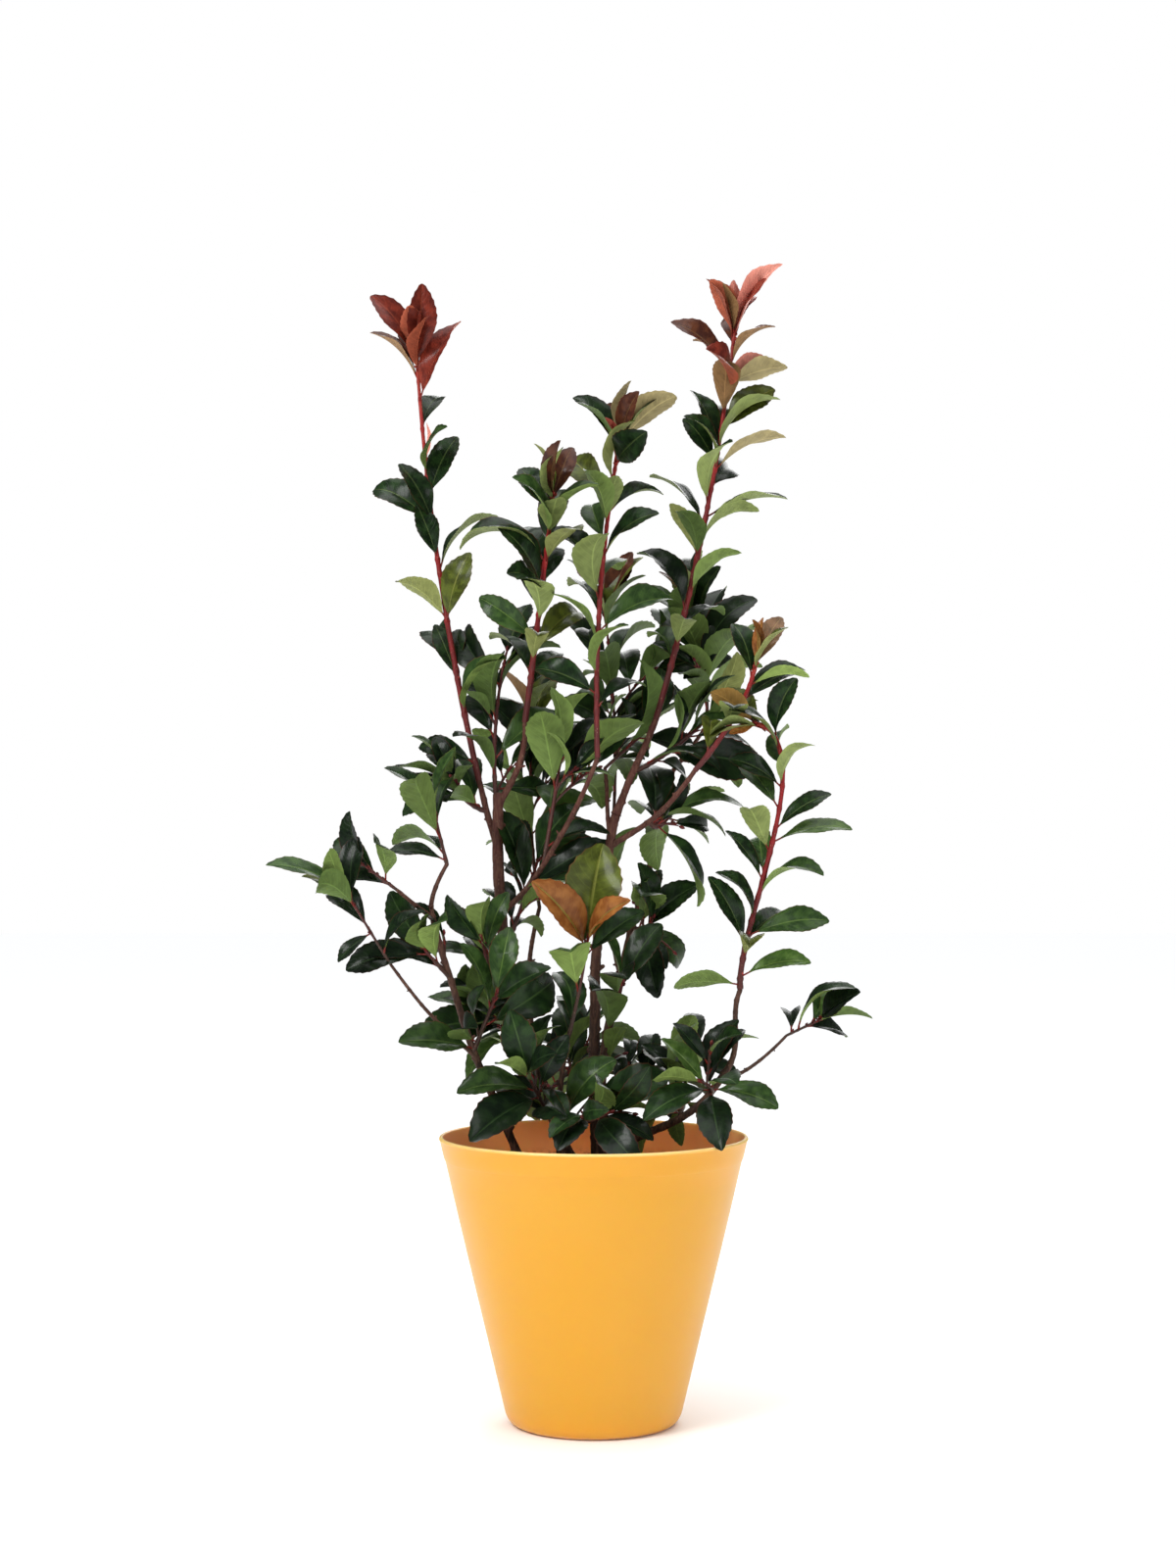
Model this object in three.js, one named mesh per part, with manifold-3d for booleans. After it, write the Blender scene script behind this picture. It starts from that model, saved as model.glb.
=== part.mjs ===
// A photinia shrub in a tapered planter: a clump of stems that fork into boughs, with masses of
// foliage on them. Millimetres, +Z up. The origin is the middle of the planter's flat underside,
// and the shrub's broad side looks along -Y.
import * as THREE from "three";
import { mergeVertices } from "three/addons/utils/BufferGeometryUtils.js";
import Module from "manifold-3d";

const wasm = await Module();
wasm.setup();

// ---------------------------------------------------------------- planter and soil
const POT_HEIGHT = 295;
const RIM_RADIUS = 160;
const FOOT_RADIUS = 92; // where the straight side meets the rounded bottom edge
const FOOT_ROUNDING = 15;
const POT_WALL = 5;
const POT_FLOOR = 7;
const RIM_BAND_HEIGHT = 24;
const RIM_BAND_STEP = 0.8; // the band below the lip stands this far proud
const LIP_DROP = 2; // height of the rounded lip
const LIP_OUTER = 0.5; // size of each of the two steps that round the lip's outer edge
const LIP_INNER = 1; // how far out from the inner wall the lip's flat top starts
const POT_SEGMENTS = 40;
const CURVE_STEPS = 4; // straight pieces in the rounded bottom edge
const SOIL_LEVEL = 255;

// ---------------------------------------------------------------- limbs
const GAP = 0.3; // clearance between neighbouring solids
const LIMB_SIDES = 6;
const LIMB_STEP = 48; // length of one straight piece of a limb
const LIMB_BUNCHING = 1.35; // above 1, a limb's rings stand closer together near its foot
const FLARE = 0.55; // how much wider a stem is where it leaves the soil
const FLARE_HEIGHT = 13;
const FOOT_DEPTH = 14; // stems are drawn this far into the soil, then cut flat
const LEAST_LIMB_STEPS = 3;
const KEEP_OUT = 1.15 * GAP; // a flat-sided tube this much thicker stands GAP clear all round

// Each stem leaves the soil at foot (x, y) and ends at tip. bow moves its middle off the straight
// line, hook moves the stretch beyond the middle, and radii are those at its foot and its tip.
const STEMS = {
  stem_left: { foot: [-66, -20], tip: [-162, -76, 522], bow: [-8, 5, -2], radii: [4.8, 3.4] },
  stem_left_centre: {
    foot: [-24, 4],
    tip: [-99, 14, 648],
    bow: [-14, 3, 20],
    hook: [-6, 3, -48],
    radii: [7.4, 6.2],
  },
  stem_centre: { foot: [5, 14], tip: [23, 4, 627], bow: [-12, 4, 13], radii: [6.8, 5.2] },
  stem_right: {
    foot: [22, -6],
    tip: [132, -30, 360],
    bow: [-25, -9, 19],
    hook: [14, 0, -26],
    radii: [5, 4],
  },
  stem_front: { foot: [-32, -22], tip: [-28, -48, 392], bow: [-4, 3, 10], radii: [3.8, 2.6] },
  stem_back: {
    foot: [16, 34],
    tip: [80, 108, 667],
    bow: [-42, -18, -8],
    hook: [27, 16, 7],
    radii: [5.4, 3.2],
  },
  stem_back_left: { foot: [-16, 42], tip: [-58, 100, 528], bow: [-28, -2, 2], radii: [4.2, 2.4] },
};

// A bough leaves its parent limb at the fraction "at" of the parent's length.
const BOUGHS = {
  bough_left_low: { on: "stem_left", at: 1, tip: [-197, -98, 551], radii: [2.6, 1.9] },
  bough_left_inner: {
    on: "stem_left",
    at: 1,
    tip: [-148, -74, 576],
    bow: [-7, -1, -3],
    radii: [2.9, 2.2],
  },
  bough_far_left: {
    on: "stem_left",
    at: 0.47,
    tip: [-203, -100, 477],
    bow: [-3, 1, -3],
    radii: [2.4, 1.7],
  },
  bough_left_tall: { on: "stem_left_centre", at: 0.9, tip: [-120, 26, 663], radii: [4, 3.3] },
  bough_left_centre_tall: {
    on: "stem_left_centre",
    at: 0.985,
    tip: [-71, 0, 723],
    bow: [7, 0, -3],
    radii: [3.8, 3],
  },
  bough_cross: {
    on: "stem_left_centre",
    at: 0.76,
    tip: [4, -38, 685],
    bow: [3, -13, -17],
    radii: [3.4, 2.6],
  },
  bough_centre_mid: { on: "stem_centre", at: 0.91, tip: [12, 30, 676], radii: [2.8, 2.1] },
  bough_right_tall: { on: "stem_centre", at: 1, tip: [65, 18, 726], radii: [4.4, 3.6] },
  bough_right_diagonal: {
    on: "stem_centre",
    at: 0.9,
    tip: [104, -30, 672],
    bow: [5, -4, -6],
    radii: [3.4, 2.7],
  },
  bough_right_arch: {
    on: "stem_right",
    at: 1,
    tip: [151, -20, 447],
    bow: [12, 0, -4],
    hook: [-10, 0, 3],
    radii: [3.4, 2.8],
  },
  bough_low_right: {
    on: "stem_right",
    at: 1,
    tip: [203, 40, 395],
    bow: [-6, -5, -13],
    radii: [2.4, 1.7],
  },
  bough_back: { on: "stem_back", at: 0.5, tip: [22, 150, 620], bow: [-8, 12, -14], radii: [3, 2.2] },
  bough_back_right: { on: "stem_back", at: 1, tip: [124, 125, 726], radii: [2.8, 2.2] },
};

// ---------------------------------------------------------------- leaves
const { degToRad, lerp } = THREE.MathUtils;

const LEAF_LENGTH = 74; // petiole and blade together
const LENGTH_SPREAD = 0.13;
const LEAF_HALF_WIDTH = 0.215; // of the leaf's length
const WIDTH_SPREAD = 0.12;
const LEAF_RISE = 0.018; // of the leaf's length: its edges stand this far above the midrib
const LEAF_KEEL = 0.004; // of the leaf's length: its underside lies this far below the midrib
const LEAF_ROOT_HEIGHT = 0.8; // the root is an edge this long, sunk in the shoot
const LEAF_STATIONS = [0.45, 0.78]; // where the blade's outline turns, from root 0 to tip 1
const LEAF_OUTLINE = [0.95, 0.85]; // of the half width, at those stations

// How the leaves stand on a shoot: LOW and HIGH are at its foot and its tip, YOUNG in its last stretch.
const LEAF_TURN = degToRad(137.5); // from one leaf to the next round the shoot
const TURN_SPREAD = degToRad(18);
const PITCH_LOW = degToRad(62); // away from the shoot
const PITCH_HIGH = degToRad(44);
const PITCH_YOUNG = [degToRad(40), degToRad(20)]; // from the oldest to the youngest
const PITCH_SPREAD = degToRad(10);
const BEND_LOW = degToRad(55); // the blade's curve from root to tip
const BEND_HIGH = degToRad(25);
const BEND_YOUNG = degToRad(12);
const BEND_SPREAD = degToRad(14);
const YOUNG_FROM_TIP = [13, 1]; // where the oldest and the youngest stand, back from the tip
const YOUNG_SIZE = [0.96, 0.76]; // of the full length, from the oldest to the youngest
const YOUNG_WIDTH = 1.08; // of the usual width
const SWELL = [0.84, 0.26]; // leaves in mid-shoot are longest: base share, and what is added there
const SKY_PULL = 0.12; // how strongly a blade's face turns up to the light on an upright shoot
const SKY_PULL_FLAT = 1.7; // what is added to that on a level shoot
const LAST_GROWN = 19; // the last full-grown leaf stands this far back from the shoot's tip
const ACCENT_BEND = 30; // degrees, unless the accent gives its own
const ACCENT_HALF_WIDTH = 0.225; // of the leaf's length
const LEAF_CLEARANCE = 0.6; // between a leaf and anything it isn't fused to
const TRY_TURNS = [0, 35, -35, 70, -70, 110, -110, 150].map(degToRad); // until one stands clear

// ---------------------------------------------------------------- shoots
const SHOOT_SIDES = 3;
const SHOOT_STEP = 40; // length of one straight piece
const SHOOT_TIP_RADIUS = 1.1;
const SHOOT_MOST_RADIUS = 2.6;
const SHOOT_FOOT = 0.85; // of the limb's radius, where a shoot leaves it
const SIDE_SHOOT_LENGTH = 66;
const SIDE_SHOOT_SPREAD = 0.15;
const SIDE_SHOOT_RADIUS = 1.3;
const SIDE_SHOOT_PITCH = degToRad(52);
const SIDE_SHOOT_LIFT = 0.25;
const SIDE_SHOOT_BOW = 0.08; // of its length, upwards
const SIDE_SHOOT_LEAVES = { leaves: 5, young: 1, bare: 0.3 };
const SLIVER = 0.05; // joins leave slivers, and those thinner than this are merged away

// ---------------------------------------------------------------- foliage masses
const MASS_DEFAULTS = { at: 1, young: 0, bare: 0.14, length: LEAF_LENGTH, sides: 0 };
const FLUSH_YOUNG = 3; // a mass with this many young leaves or more is a red-tipped one

// Each mass grows on one shoot from its limb to tip. leaves stand along the shoot above the bare
// share of it, young are bunched at its tip, and sides are side shoots. turn is where the first leaf
// points, in degrees, and seed starts the mass's own random numbers.
const MASSES = {
  foliage_left_tall: {
    on: "bough_left_tall", tip: [-188, 62, 1109], bow: [-9, 2, -2],
    leaves: 9, young: 3, bare: 0.04, length: 80, turn: 90, seed: 68,
  },
  foliage_right_tall: {
    on: "bough_right_tall", tip: [150, 48, 1142], bow: [9, 1, -2],
    leaves: 19, young: 5, length: 77, turn: 40, seed: 15,
  },
  foliage_centre_tall: {
    on: "bough_cross", tip: [28, 14, 1021], bow: [-9, -1, 3],
    leaves: 18, young: 3, length: 78, turn: 30, seed: 21,
  },
  foliage_left_centre_tall: {
    on: "bough_left_centre_tall", tip: [-41, -46, 954],
    leaves: 15, young: 3, length: 78, turn: 0, seed: 72,
  },
  foliage_right_arch: {
    on: "bough_right_arch", tip: [164, -50, 720], bow: [-9, 7, -27], hook: [41, -7, 49],
    leaves: 13, young: 4, length: 70, turn: 270, seed: 10,
  },
  foliage_right_diagonal: {
    on: "bough_right_diagonal", tip: [165, -60, 780], bow: [10, -1, 2],
    leaves: 4, young: 3, length: 69, turn: 20, seed: 95,
  },
  foliage_far_left: {
    on: "bough_far_left", tip: [-245, -124, 549],
    leaves: 3, young: 3, length: 72, turn: 240, seed: 30,
  },
  foliage_left_low: {
    on: "bough_left_low", tip: [-228, -112, 575],
    leaves: 3, young: 3, length: 73, turn: 80, seed: 49,
  },
  foliage_left_inner: {
    on: "bough_left_inner", tip: [-163, -66, 634],
    leaves: 3, young: 2, length: 81, turn: 50, seed: 49,
  },
  foliage_left_upper: {
    on: "bough_left_tall", at: 0.55, tip: [-153, 22, 671], bow: [-4, 0, -6],
    leaves: 6, young: 2, turn: 170, seed: 78,
  },
  foliage_left_stem: {
    on: "stem_left", at: 0.78, tip: [-171, -84, 491],
    leaves: 4, young: 1, length: 86, turn: 310, seed: 99,
  },
  foliage_left_foot: {
    on: "stem_left", at: 0.5, tip: [-98, -66, 445],
    leaves: 3, young: 2, length: 86, turn: 180, seed: 60,
  },
  foliage_left_centre: {
    on: "stem_left_centre", at: 0.955, tip: [-91, 30, 801], bow: [-8, 4, 0],
    leaves: 8, young: 2, length: 86, turn: 50, seed: 91,
  },
  foliage_inner_left: {
    on: "stem_left_centre", at: 0.5, tip: [-115, -34, 501], bow: [-4, -4, -8],
    leaves: 4, young: 2, length: 72, turn: 320, seed: 21,
  },
  foliage_cross: {
    on: "bough_cross", at: 0.42, tip: [-32, 6, 698],
    leaves: 4, young: 2, length: 86, sides: 1, turn: 320, seed: 33,
  },
  foliage_cross_low: {
    on: "stem_left_centre", at: 0.66, tip: [-58, 40, 580],
    leaves: 7, young: 2, length: 86, turn: 290, seed: 5,
  },
  foliage_centre_mid: {
    on: "bough_centre_mid", tip: [60, 56, 720],
    leaves: 3, young: 2, length: 86, turn: 20, seed: 53,
  },
  foliage_right_inner: {
    on: "bough_right_tall", at: 0.45, tip: [124, 40, 734], bow: [4, 4, -4],
    leaves: 9, young: 2, length: 86, turn: 200, seed: 89,
  },
  foliage_mid_right: {
    on: "bough_right_diagonal", at: 0.4, tip: [81, 22, 630], bow: [0, 0, -10],
    leaves: 8, young: 1, length: 86, turn: 100, seed: 65,
  },
  foliage_mid_right_low: {
    on: "stem_back", at: 0.62, tip: [63, 44, 518], bow: [0, 0, -12],
    leaves: 4, young: 1, length: 86, turn: 250, seed: 9,
  },
  foliage_front: {
    on: "stem_front", tip: [-6, -84, 501], bow: [2, 2, 0],
    leaves: 3, young: 5, length: 86, turn: 100, seed: 70,
  },
  foliage_low_right: {
    on: "bough_low_right", tip: [239, 58, 410],
    leaves: 3, young: 3, length: 69, turn: 280, seed: 68,
  },
  foliage_rim_right: {
    on: "stem_right", at: 0.9, tip: [109, -60, 356], bow: [4, -6, 0],
    leaves: 3, young: 2, length: 82, turn: 60, seed: 80,
  },
  foliage_low_right_inner: {
    on: "stem_right", at: 0.68, tip: [94, 14, 338],
    leaves: 3, young: 2, length: 84, turn: 140, seed: 45,
  },
  foliage_low_left: {
    on: "stem_left_centre", at: 0.1, tip: [-66, -58, 361], bow: [-4, -8, 8],
    leaves: 5, young: 2, length: 83, turn: 140, seed: 71,
  },
  foliage_low_front: {
    on: "stem_front", at: 0.36, tip: [17, -78, 327], bow: [0, 0, -6],
    leaves: 5, young: 1, length: 86, turn: 330, seed: 69,
  },
  foliage_low_centre: {
    on: "stem_centre", at: 0.2, tip: [30, -16, 453],
    leaves: 3, young: 2, length: 86, turn: 350, seed: 53,
  },
  foliage_low_back_right: {
    on: "stem_back", at: 0.16, tip: [123, 84, 379], bow: [0, 0, -6],
    leaves: 9, young: 2, length: 69, turn: 40, seed: 81,
  },
  foliage_low_back: {
    on: "stem_back_left", at: 0.28, tip: [-5, 132, 383], bow: [0, 0, -6],
    leaves: 9, young: 2, length: 84, sides: 1, turn: 30, seed: 7,
  },
  foliage_low_back_left: {
    on: "stem_back_left", at: 0.5, tip: [-124, 96, 414], bow: [0, 0, -6],
    leaves: 9, young: 2, length: 84, turn: 270, seed: 6,
  },
  foliage_back_left: {
    on: "stem_back_left", tip: [-66, 132, 726], bow: [-6, 8, 0],
    leaves: 10, young: 3, length: 86, sides: 1, turn: 350, seed: 15,
  },
  foliage_back: {
    on: "bough_back", tip: [12, 166, 855], bow: [6, 6, 0],
    leaves: 10, young: 4, length: 86, sides: 1, turn: 290, seed: 33,
  },
  foliage_back_right: {
    on: "bough_back_right", tip: [111, 142, 842], bow: [4, 4, 0],
    leaves: 11, young: 3, length: 86, turn: 250, seed: 24,
  },
};

// Single leaves that stand out from their mass and make the crown's outline: each leaves the mass's
// shoot at the fraction "at", ends at tip, and turns its upper side towards face.
const ACCENTS = {
  foliage_left_tall: [
    { at: 0.985, tip: [-236, 50, 1182], face: [0.6, -0.7, 0.4] },
    { at: 0.91, tip: [-143, 55, 1156], face: [-0.6, -0.7, 0.4] },
    { at: 0.61, tip: [-206, 40, 1000], face: [0.6, -0.6, 0.4] },
    { at: 0.38, tip: [-134, 30, 906], face: [-0.2, -0.9, 0.2] },
  ],
  foliage_right_tall: [
    { at: 0.99, tip: [197, 30, 1212], face: [-0.8, 0.5, 0.3] },
    { at: 0.89, tip: [84, 31, 1152], face: [0.3, -0.6, 0.7] },
    { at: 0.86, tip: [205, 38, 1105], face: [-0.1, 0.5, 0.9] },
    { at: 0.64, tip: [203, 32, 1029], face: [-0.1, 0.3, 0.9] },
    { at: 0.52, tip: [205, 29, 963], face: [-0.1, 0.2, 0.9] },
  ],
  foliage_centre_tall: [{ at: 0.98, tip: [86, -10, 1064], face: [-0.2, 0.5, 0.8] }],
  foliage_left_centre_tall: [{ at: 0.7, tip: [-141, -35, 901], face: [0.5, -0.2, 0.9], bend: 100 }],
  foliage_right_arch: [
    { at: 0.5, tip: [266, -38, 614], face: [0, -0.4, 0.9] },
    { at: 0.22, tip: [243, -27, 521], face: [0, -0.6, 0.8] },
    { at: 0.06, tip: [225, -22, 476], face: [0, -0.5, 0.9] },
  ],
  foliage_far_left: [{ at: 0.95, tip: [-321, -152, 578], face: [0, -0.5, 0.9] }],
  foliage_left_inner: [{ at: 0.06, tip: [-207, -84, 591], face: [0, -0.5, 0.9] }],
  foliage_left_stem: [{ at: 0.8, tip: [-250, -92, 474], face: [0, -0.6, 0.8] }],
  foliage_front: [
    { at: 0.94, tip: [14, -98, 597], face: [0, -0.9, 0.3] },
    { at: 0.9, tip: [-59, -122, 562], face: [0.3, -0.9, 0.4] },
    { at: 0.97, tip: [34, -140, 541], face: [-0.2, -0.7, 0.6] },
  ],
  foliage_rim_right: [
    { at: 0.16, tip: [122, -112, 294], face: [0.1, -0.9, 0.3] },
    { at: 0.3, tip: [187, -66, 330], face: [0, -0.5, 0.9] },
  ],
  foliage_low_left: [{ at: 0.5, tip: [-123, -112, 304], face: [-0.1, -0.8, 0.6] }],
};

// ---------------------------------------------------------------- materials
const finish = (color, roughness) => new THREE.MeshStandardMaterial({ color, roughness, metalness: 0 });
const MATERIALS = {
  planter: finish(0xf8b042, 0.42),
  soil: finish(0x3a2a20, 0.95),
  bark: finish(0x5a3a2c, 0.8),
  foliage: finish(0x33552f, 0.4),
  flush: finish(0x8c4a34, 0.4), // the shoots that end in red young leaves
};

// ---------------------------------------------------------------- curves and solids

// A limb's centre line: the straight line from start to end, moved by bow at its middle and by
// hook beyond it. The same three terms give its direction.
class LimbCurve extends THREE.Curve {
  constructor(start, end, bow = [0, 0, 0], hook = [0, 0, 0]) {
    super();
    this.start = new THREE.Vector3(...start);
    this.end = new THREE.Vector3(...end);
    this.bow = new THREE.Vector3(...bow);
    this.hook = new THREE.Vector3(...hook);
    this.span = this.start.distanceTo(this.end);
    this.reference = leastAxis(new THREE.Vector3().subVectors(this.end, this.start));
  }

  getPoint(t, target = new THREE.Vector3()) {
    return target
      .lerpVectors(this.start, this.end, t)
      .addScaledVector(this.bow, 4 * t * (1 - t))
      .addScaledVector(this.hook, 6.75 * t * t * (1 - t));
  }

  getTangent(t, target = new THREE.Vector3()) {
    return target
      .subVectors(this.end, this.start)
      .addScaledVector(this.bow, 4 * (1 - 2 * t))
      .addScaledVector(this.hook, 6.75 * (2 * t - 3 * t * t))
      .normalize();
  }

  // Two unit vectors across the limb at t, which with its direction make a right-handed set.
  sectionAt(t) {
    const along = this.getTangent(t);
    const across = this.reference.clone().addScaledVector(along, -this.reference.dot(along));
    across.normalize();
    return { along, across, aside: new THREE.Vector3().crossVectors(along, across) };
  }
}

// The world axis that a direction runs along least.
function leastAxis(direction) {
  const sizes = direction.toArray().map(Math.abs);
  const axis = sizes.indexOf(Math.min(...sizes));
  return new THREE.Vector3().setComponent(axis, 1);
}

// A repeatable source of numbers from 0 to 1.
function seededRandom(seed) {
  let state = seed >>> 0;
  return () => {
    state = (state + 0x6d2b79f5) >>> 0;
    let mixed = Math.imul(state ^ (state >>> 15), state | 1);
    mixed ^= mixed + Math.imul(mixed ^ (mixed >>> 7), mixed | 61);
    return ((mixed ^ (mixed >>> 14)) >>> 0) / 4294967296;
  };
}

// A closed triangle mesh as a solid.
function solidFrom(positions, triangles) {
  return new wasm.Manifold(
    new wasm.Mesh({
      numProp: 3,
      vertProperties: new Float32Array(positions),
      triVerts: new Uint32Array(triangles),
    }),
  );
}

// A three.js geometry as a solid, once its seams are merged.
function solidFromGeometry(geometry) {
  geometry.deleteAttribute("normal");
  geometry.deleteAttribute("uv");
  const merged = mergeVertices(geometry, 1e-4);
  return solidFrom(merged.attributes.position.array, merged.index.array);
}

// A solid as a flat-shaded geometry.
function geometryOf(solid) {
  const mesh = solid.getMesh();
  const geometry = new THREE.BufferGeometry();
  geometry.setAttribute("position", new THREE.BufferAttribute(mesh.vertProperties, 3));
  geometry.setIndex(new THREE.BufferAttribute(mesh.triVerts, 1));
  const flat = geometry.toNonIndexed();
  flat.computeVertexNormals();
  return flat;
}

// A closed tube of the given radii through rings at the fractions ts of a curve.
function tube(curve, ts, radiusAt, sides) {
  const positions = [];
  const triangles = [];
  for (const t of ts) {
    const centre = curve.getPoint(t);
    const { across, aside } = curve.sectionAt(t);
    for (let side = 0; side < sides; side++) {
      const angle = (2 * Math.PI * side) / sides;
      const point = centre
        .clone()
        .addScaledVector(across, radiusAt(t) * Math.cos(angle))
        .addScaledVector(aside, radiusAt(t) * Math.sin(angle));
      positions.push(...point.toArray());
    }
  }
  const lastRing = (ts.length - 1) * sides;
  for (let ring = 0; ring < lastRing; ring += sides) {
    for (let side = 0; side < sides; side++) {
      const next = (side + 1) % sides;
      triangles.push(ring + side, ring + next, ring + sides + next);
      triangles.push(ring + side, ring + sides + next, ring + sides + side);
    }
  }
  for (let side = 1; side < sides - 1; side++) {
    triangles.push(0, side + 1, side);
    triangles.push(lastRing, lastRing + side, lastRing + side + 1);
  }
  return solidFrom(positions, triangles);
}

// The piece of a cut solid that holds the most.
function largestPiece(solid) {
  const pieces = solid.decompose();
  return pieces.reduce((most, piece) => (piece.volume() > most.volume() ? piece : most));
}

// ---------------------------------------------------------------- planter and soil

// The radius of the planter's outer side at height z.
function sideRadius(z) {
  return THREE.MathUtils.mapLinear(z, FOOT_ROUNDING, POT_HEIGHT, FOOT_RADIUS, RIM_RADIUS);
}

// Half the planter's section, from the middle of its underside round to the middle of its floor.
function planterProfile() {
  const outline = new THREE.Path();
  const cornerX = FOOT_RADIUS - FOOT_ROUNDING;
  outline.moveTo(0, 0);
  outline.lineTo(cornerX, 0);
  outline.quadraticCurveTo(sideRadius(0), 0, FOOT_RADIUS, FOOT_ROUNDING);
  const bandFoot = POT_HEIGHT - RIM_BAND_HEIGHT;
  outline.lineTo(sideRadius(bandFoot) - RIM_BAND_STEP, bandFoot);
  outline.lineTo(sideRadius(bandFoot), bandFoot + RIM_BAND_STEP);
  outline.lineTo(RIM_RADIUS, POT_HEIGHT - LIP_DROP);
  outline.lineTo(RIM_RADIUS - LIP_OUTER, POT_HEIGHT - LIP_OUTER);
  outline.lineTo(RIM_RADIUS - 2 * LIP_OUTER, POT_HEIGHT);
  outline.lineTo(RIM_RADIUS - POT_WALL + LIP_INNER, POT_HEIGHT);
  outline.lineTo(RIM_RADIUS - POT_WALL, POT_HEIGHT - LIP_DROP);
  outline.lineTo(sideRadius(POT_FLOOR + FOOT_ROUNDING) - POT_WALL, POT_FLOOR + FOOT_ROUNDING);
  outline.lineTo(cornerX - POT_WALL, POT_FLOOR);
  outline.lineTo(0, POT_FLOOR);
  return outline.getPoints(CURVE_STEPS);
}

// A profile of (radius, height) turned about the Z axis.
function turned(points) {
  return new THREE.LatheGeometry(points, POT_SEGMENTS).rotateX(Math.PI / 2);
}

// The soil's section: the planter's inside, GAP clear of it, up to the soil level.
function soilProfile() {
  const shrink = POT_WALL + RIM_BAND_STEP + 2 * GAP;
  const bottom = POT_FLOOR + FOOT_ROUNDING;
  return [
    new THREE.Vector2(0, POT_FLOOR + GAP),
    new THREE.Vector2(FOOT_RADIUS - FOOT_ROUNDING - shrink, POT_FLOOR + GAP),
    new THREE.Vector2(sideRadius(bottom) - shrink, bottom),
    new THREE.Vector2(sideRadius(SOIL_LEVEL) - shrink, SOIL_LEVEL),
    new THREE.Vector2(0, SOIL_LEVEL),
  ];
}

// ---------------------------------------------------------------- stems and boughs

// A limb with its curve, its radius at any fraction, its solid and the space it keeps clear.
function makeLimb(curve, radii, isStem, earlier) {
  const flare = isStem ? FLARE : 0;
  const flareAt = (t) => 1 + flare * Math.exp((-Math.max(t, 0) * curve.span) / FLARE_HEIGHT);
  const radiusAt = (t) => lerp(radii[0], radii[1], t) * flareAt(t);
  const steps = Math.max(LEAST_LIMB_STEPS, Math.round(curve.span / LIMB_STEP));
  const ts = Array.from({ length: steps + 1 }, (_, i) => (i / steps) ** LIMB_BUNCHING);
  if (isStem) ts.unshift(-FOOT_DEPTH / curve.span);
  let solid = tube(curve, ts, radiusAt, LIMB_SIDES);
  if (isStem) solid = solid.trimByPlane([0, 0, 1], SOIL_LEVEL + GAP); // a flat cut on the soil
  for (const other of earlier) solid = solid.subtract(other.keepOut);
  const keepOutTs = [...ts.slice(0, -1), 1 + GAP / curve.span];
  const keepOut = tube(curve, keepOutTs, (t) => radiusAt(t) + KEEP_OUT, LIMB_SIDES);
  return { curve, radiusAt, solid: largestPiece(solid), keepOut };
}

function makeLimbs() {
  const limbs = {};
  for (const [name, { foot, tip, bow, hook, radii }] of Object.entries(STEMS)) {
    const curve = new LimbCurve([...foot, SOIL_LEVEL], tip, bow, hook);
    limbs[name] = makeLimb(curve, radii, true, Object.values(limbs));
  }
  for (const [name, { on, at, tip, bow, hook, radii }] of Object.entries(BOUGHS)) {
    const start = limbs[on].curve.getPoint(at).toArray();
    const curve = new LimbCurve(start, tip, bow, hook);
    limbs[name] = makeLimb(curve, radii, false, Object.values(limbs));
  }
  return limbs;
}

// ---------------------------------------------------------------- shoots and leaves

// A shoot with its curve and solid. middleAt gives the middle of the solid, whose straight pieces
// cut the curve's corners, so that a leaf's root always lies inside.
function makeShoot(curve, footRadius) {
  const steps = Math.max(2, Math.round(curve.span / SHOOT_STEP));
  const ts = Array.from({ length: steps + 1 }, (_, i) => i / steps);
  const radiusAt = (t) => lerp(footRadius, SHOOT_TIP_RADIUS, t);
  const middleAt = (t) => {
    const piece = Math.min(Math.floor(t * steps), steps - 1);
    return curve.getPoint(ts[piece]).lerp(curve.getPoint(ts[piece + 1]), t * steps - piece);
  };
  return { curve, middleAt, solid: tube(curve, ts, radiusAt, SHOOT_SIDES) };
}

// The direction at an angle "turn" round a shoot and "pitch" away from it.
function directionFrom({ along, across, aside }, turn, pitch) {
  const outward = across.clone().multiplyScalar(Math.cos(turn)).addScaledVector(aside, Math.sin(turn));
  return along.clone().multiplyScalar(Math.cos(pitch)).addScaledVector(outward, Math.sin(pitch));
}

// The side shoots of a mass's main shoot, spread round it from its lower to its upper part.
function sideShootCurves(main, count, turn, random) {
  const curves = [];
  for (let i = 0; i < count; i++) {
    const t = lerp(0.25, 0.75, (i + 0.5) / count);
    const length = SIDE_SHOOT_LENGTH * (1 + SIDE_SHOOT_SPREAD * (2 * random() - 1));
    const side = turn + (i + 0.5) * LEAF_TURN;
    const direction = directionFrom(main.sectionAt(t), side, SIDE_SHOOT_PITCH);
    direction.z += SIDE_SHOOT_LIFT;
    const start = main.getPoint(t);
    const end = start.clone().addScaledVector(direction.normalize(), length);
    curves.push(new LimbCurve(start.toArray(), end.toArray(), [0, 0, SIDE_SHOOT_BOW * length]));
  }
  return curves;
}

// A full-grown leaf at rank 0 to 1 along the leafy part of a shoot.
function grownLeaf(rank, bare, span) {
  return {
    t: lerp(bare, 1 - LAST_GROWN / span, rank),
    size: SWELL[0] + SWELL[1] * Math.sin(Math.PI * lerp(0.15, 0.85, rank)),
    pitch: lerp(PITCH_LOW, PITCH_HIGH, rank),
    bend: lerp(BEND_LOW, BEND_HIGH, rank),
    width: 1,
  };
}

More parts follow.
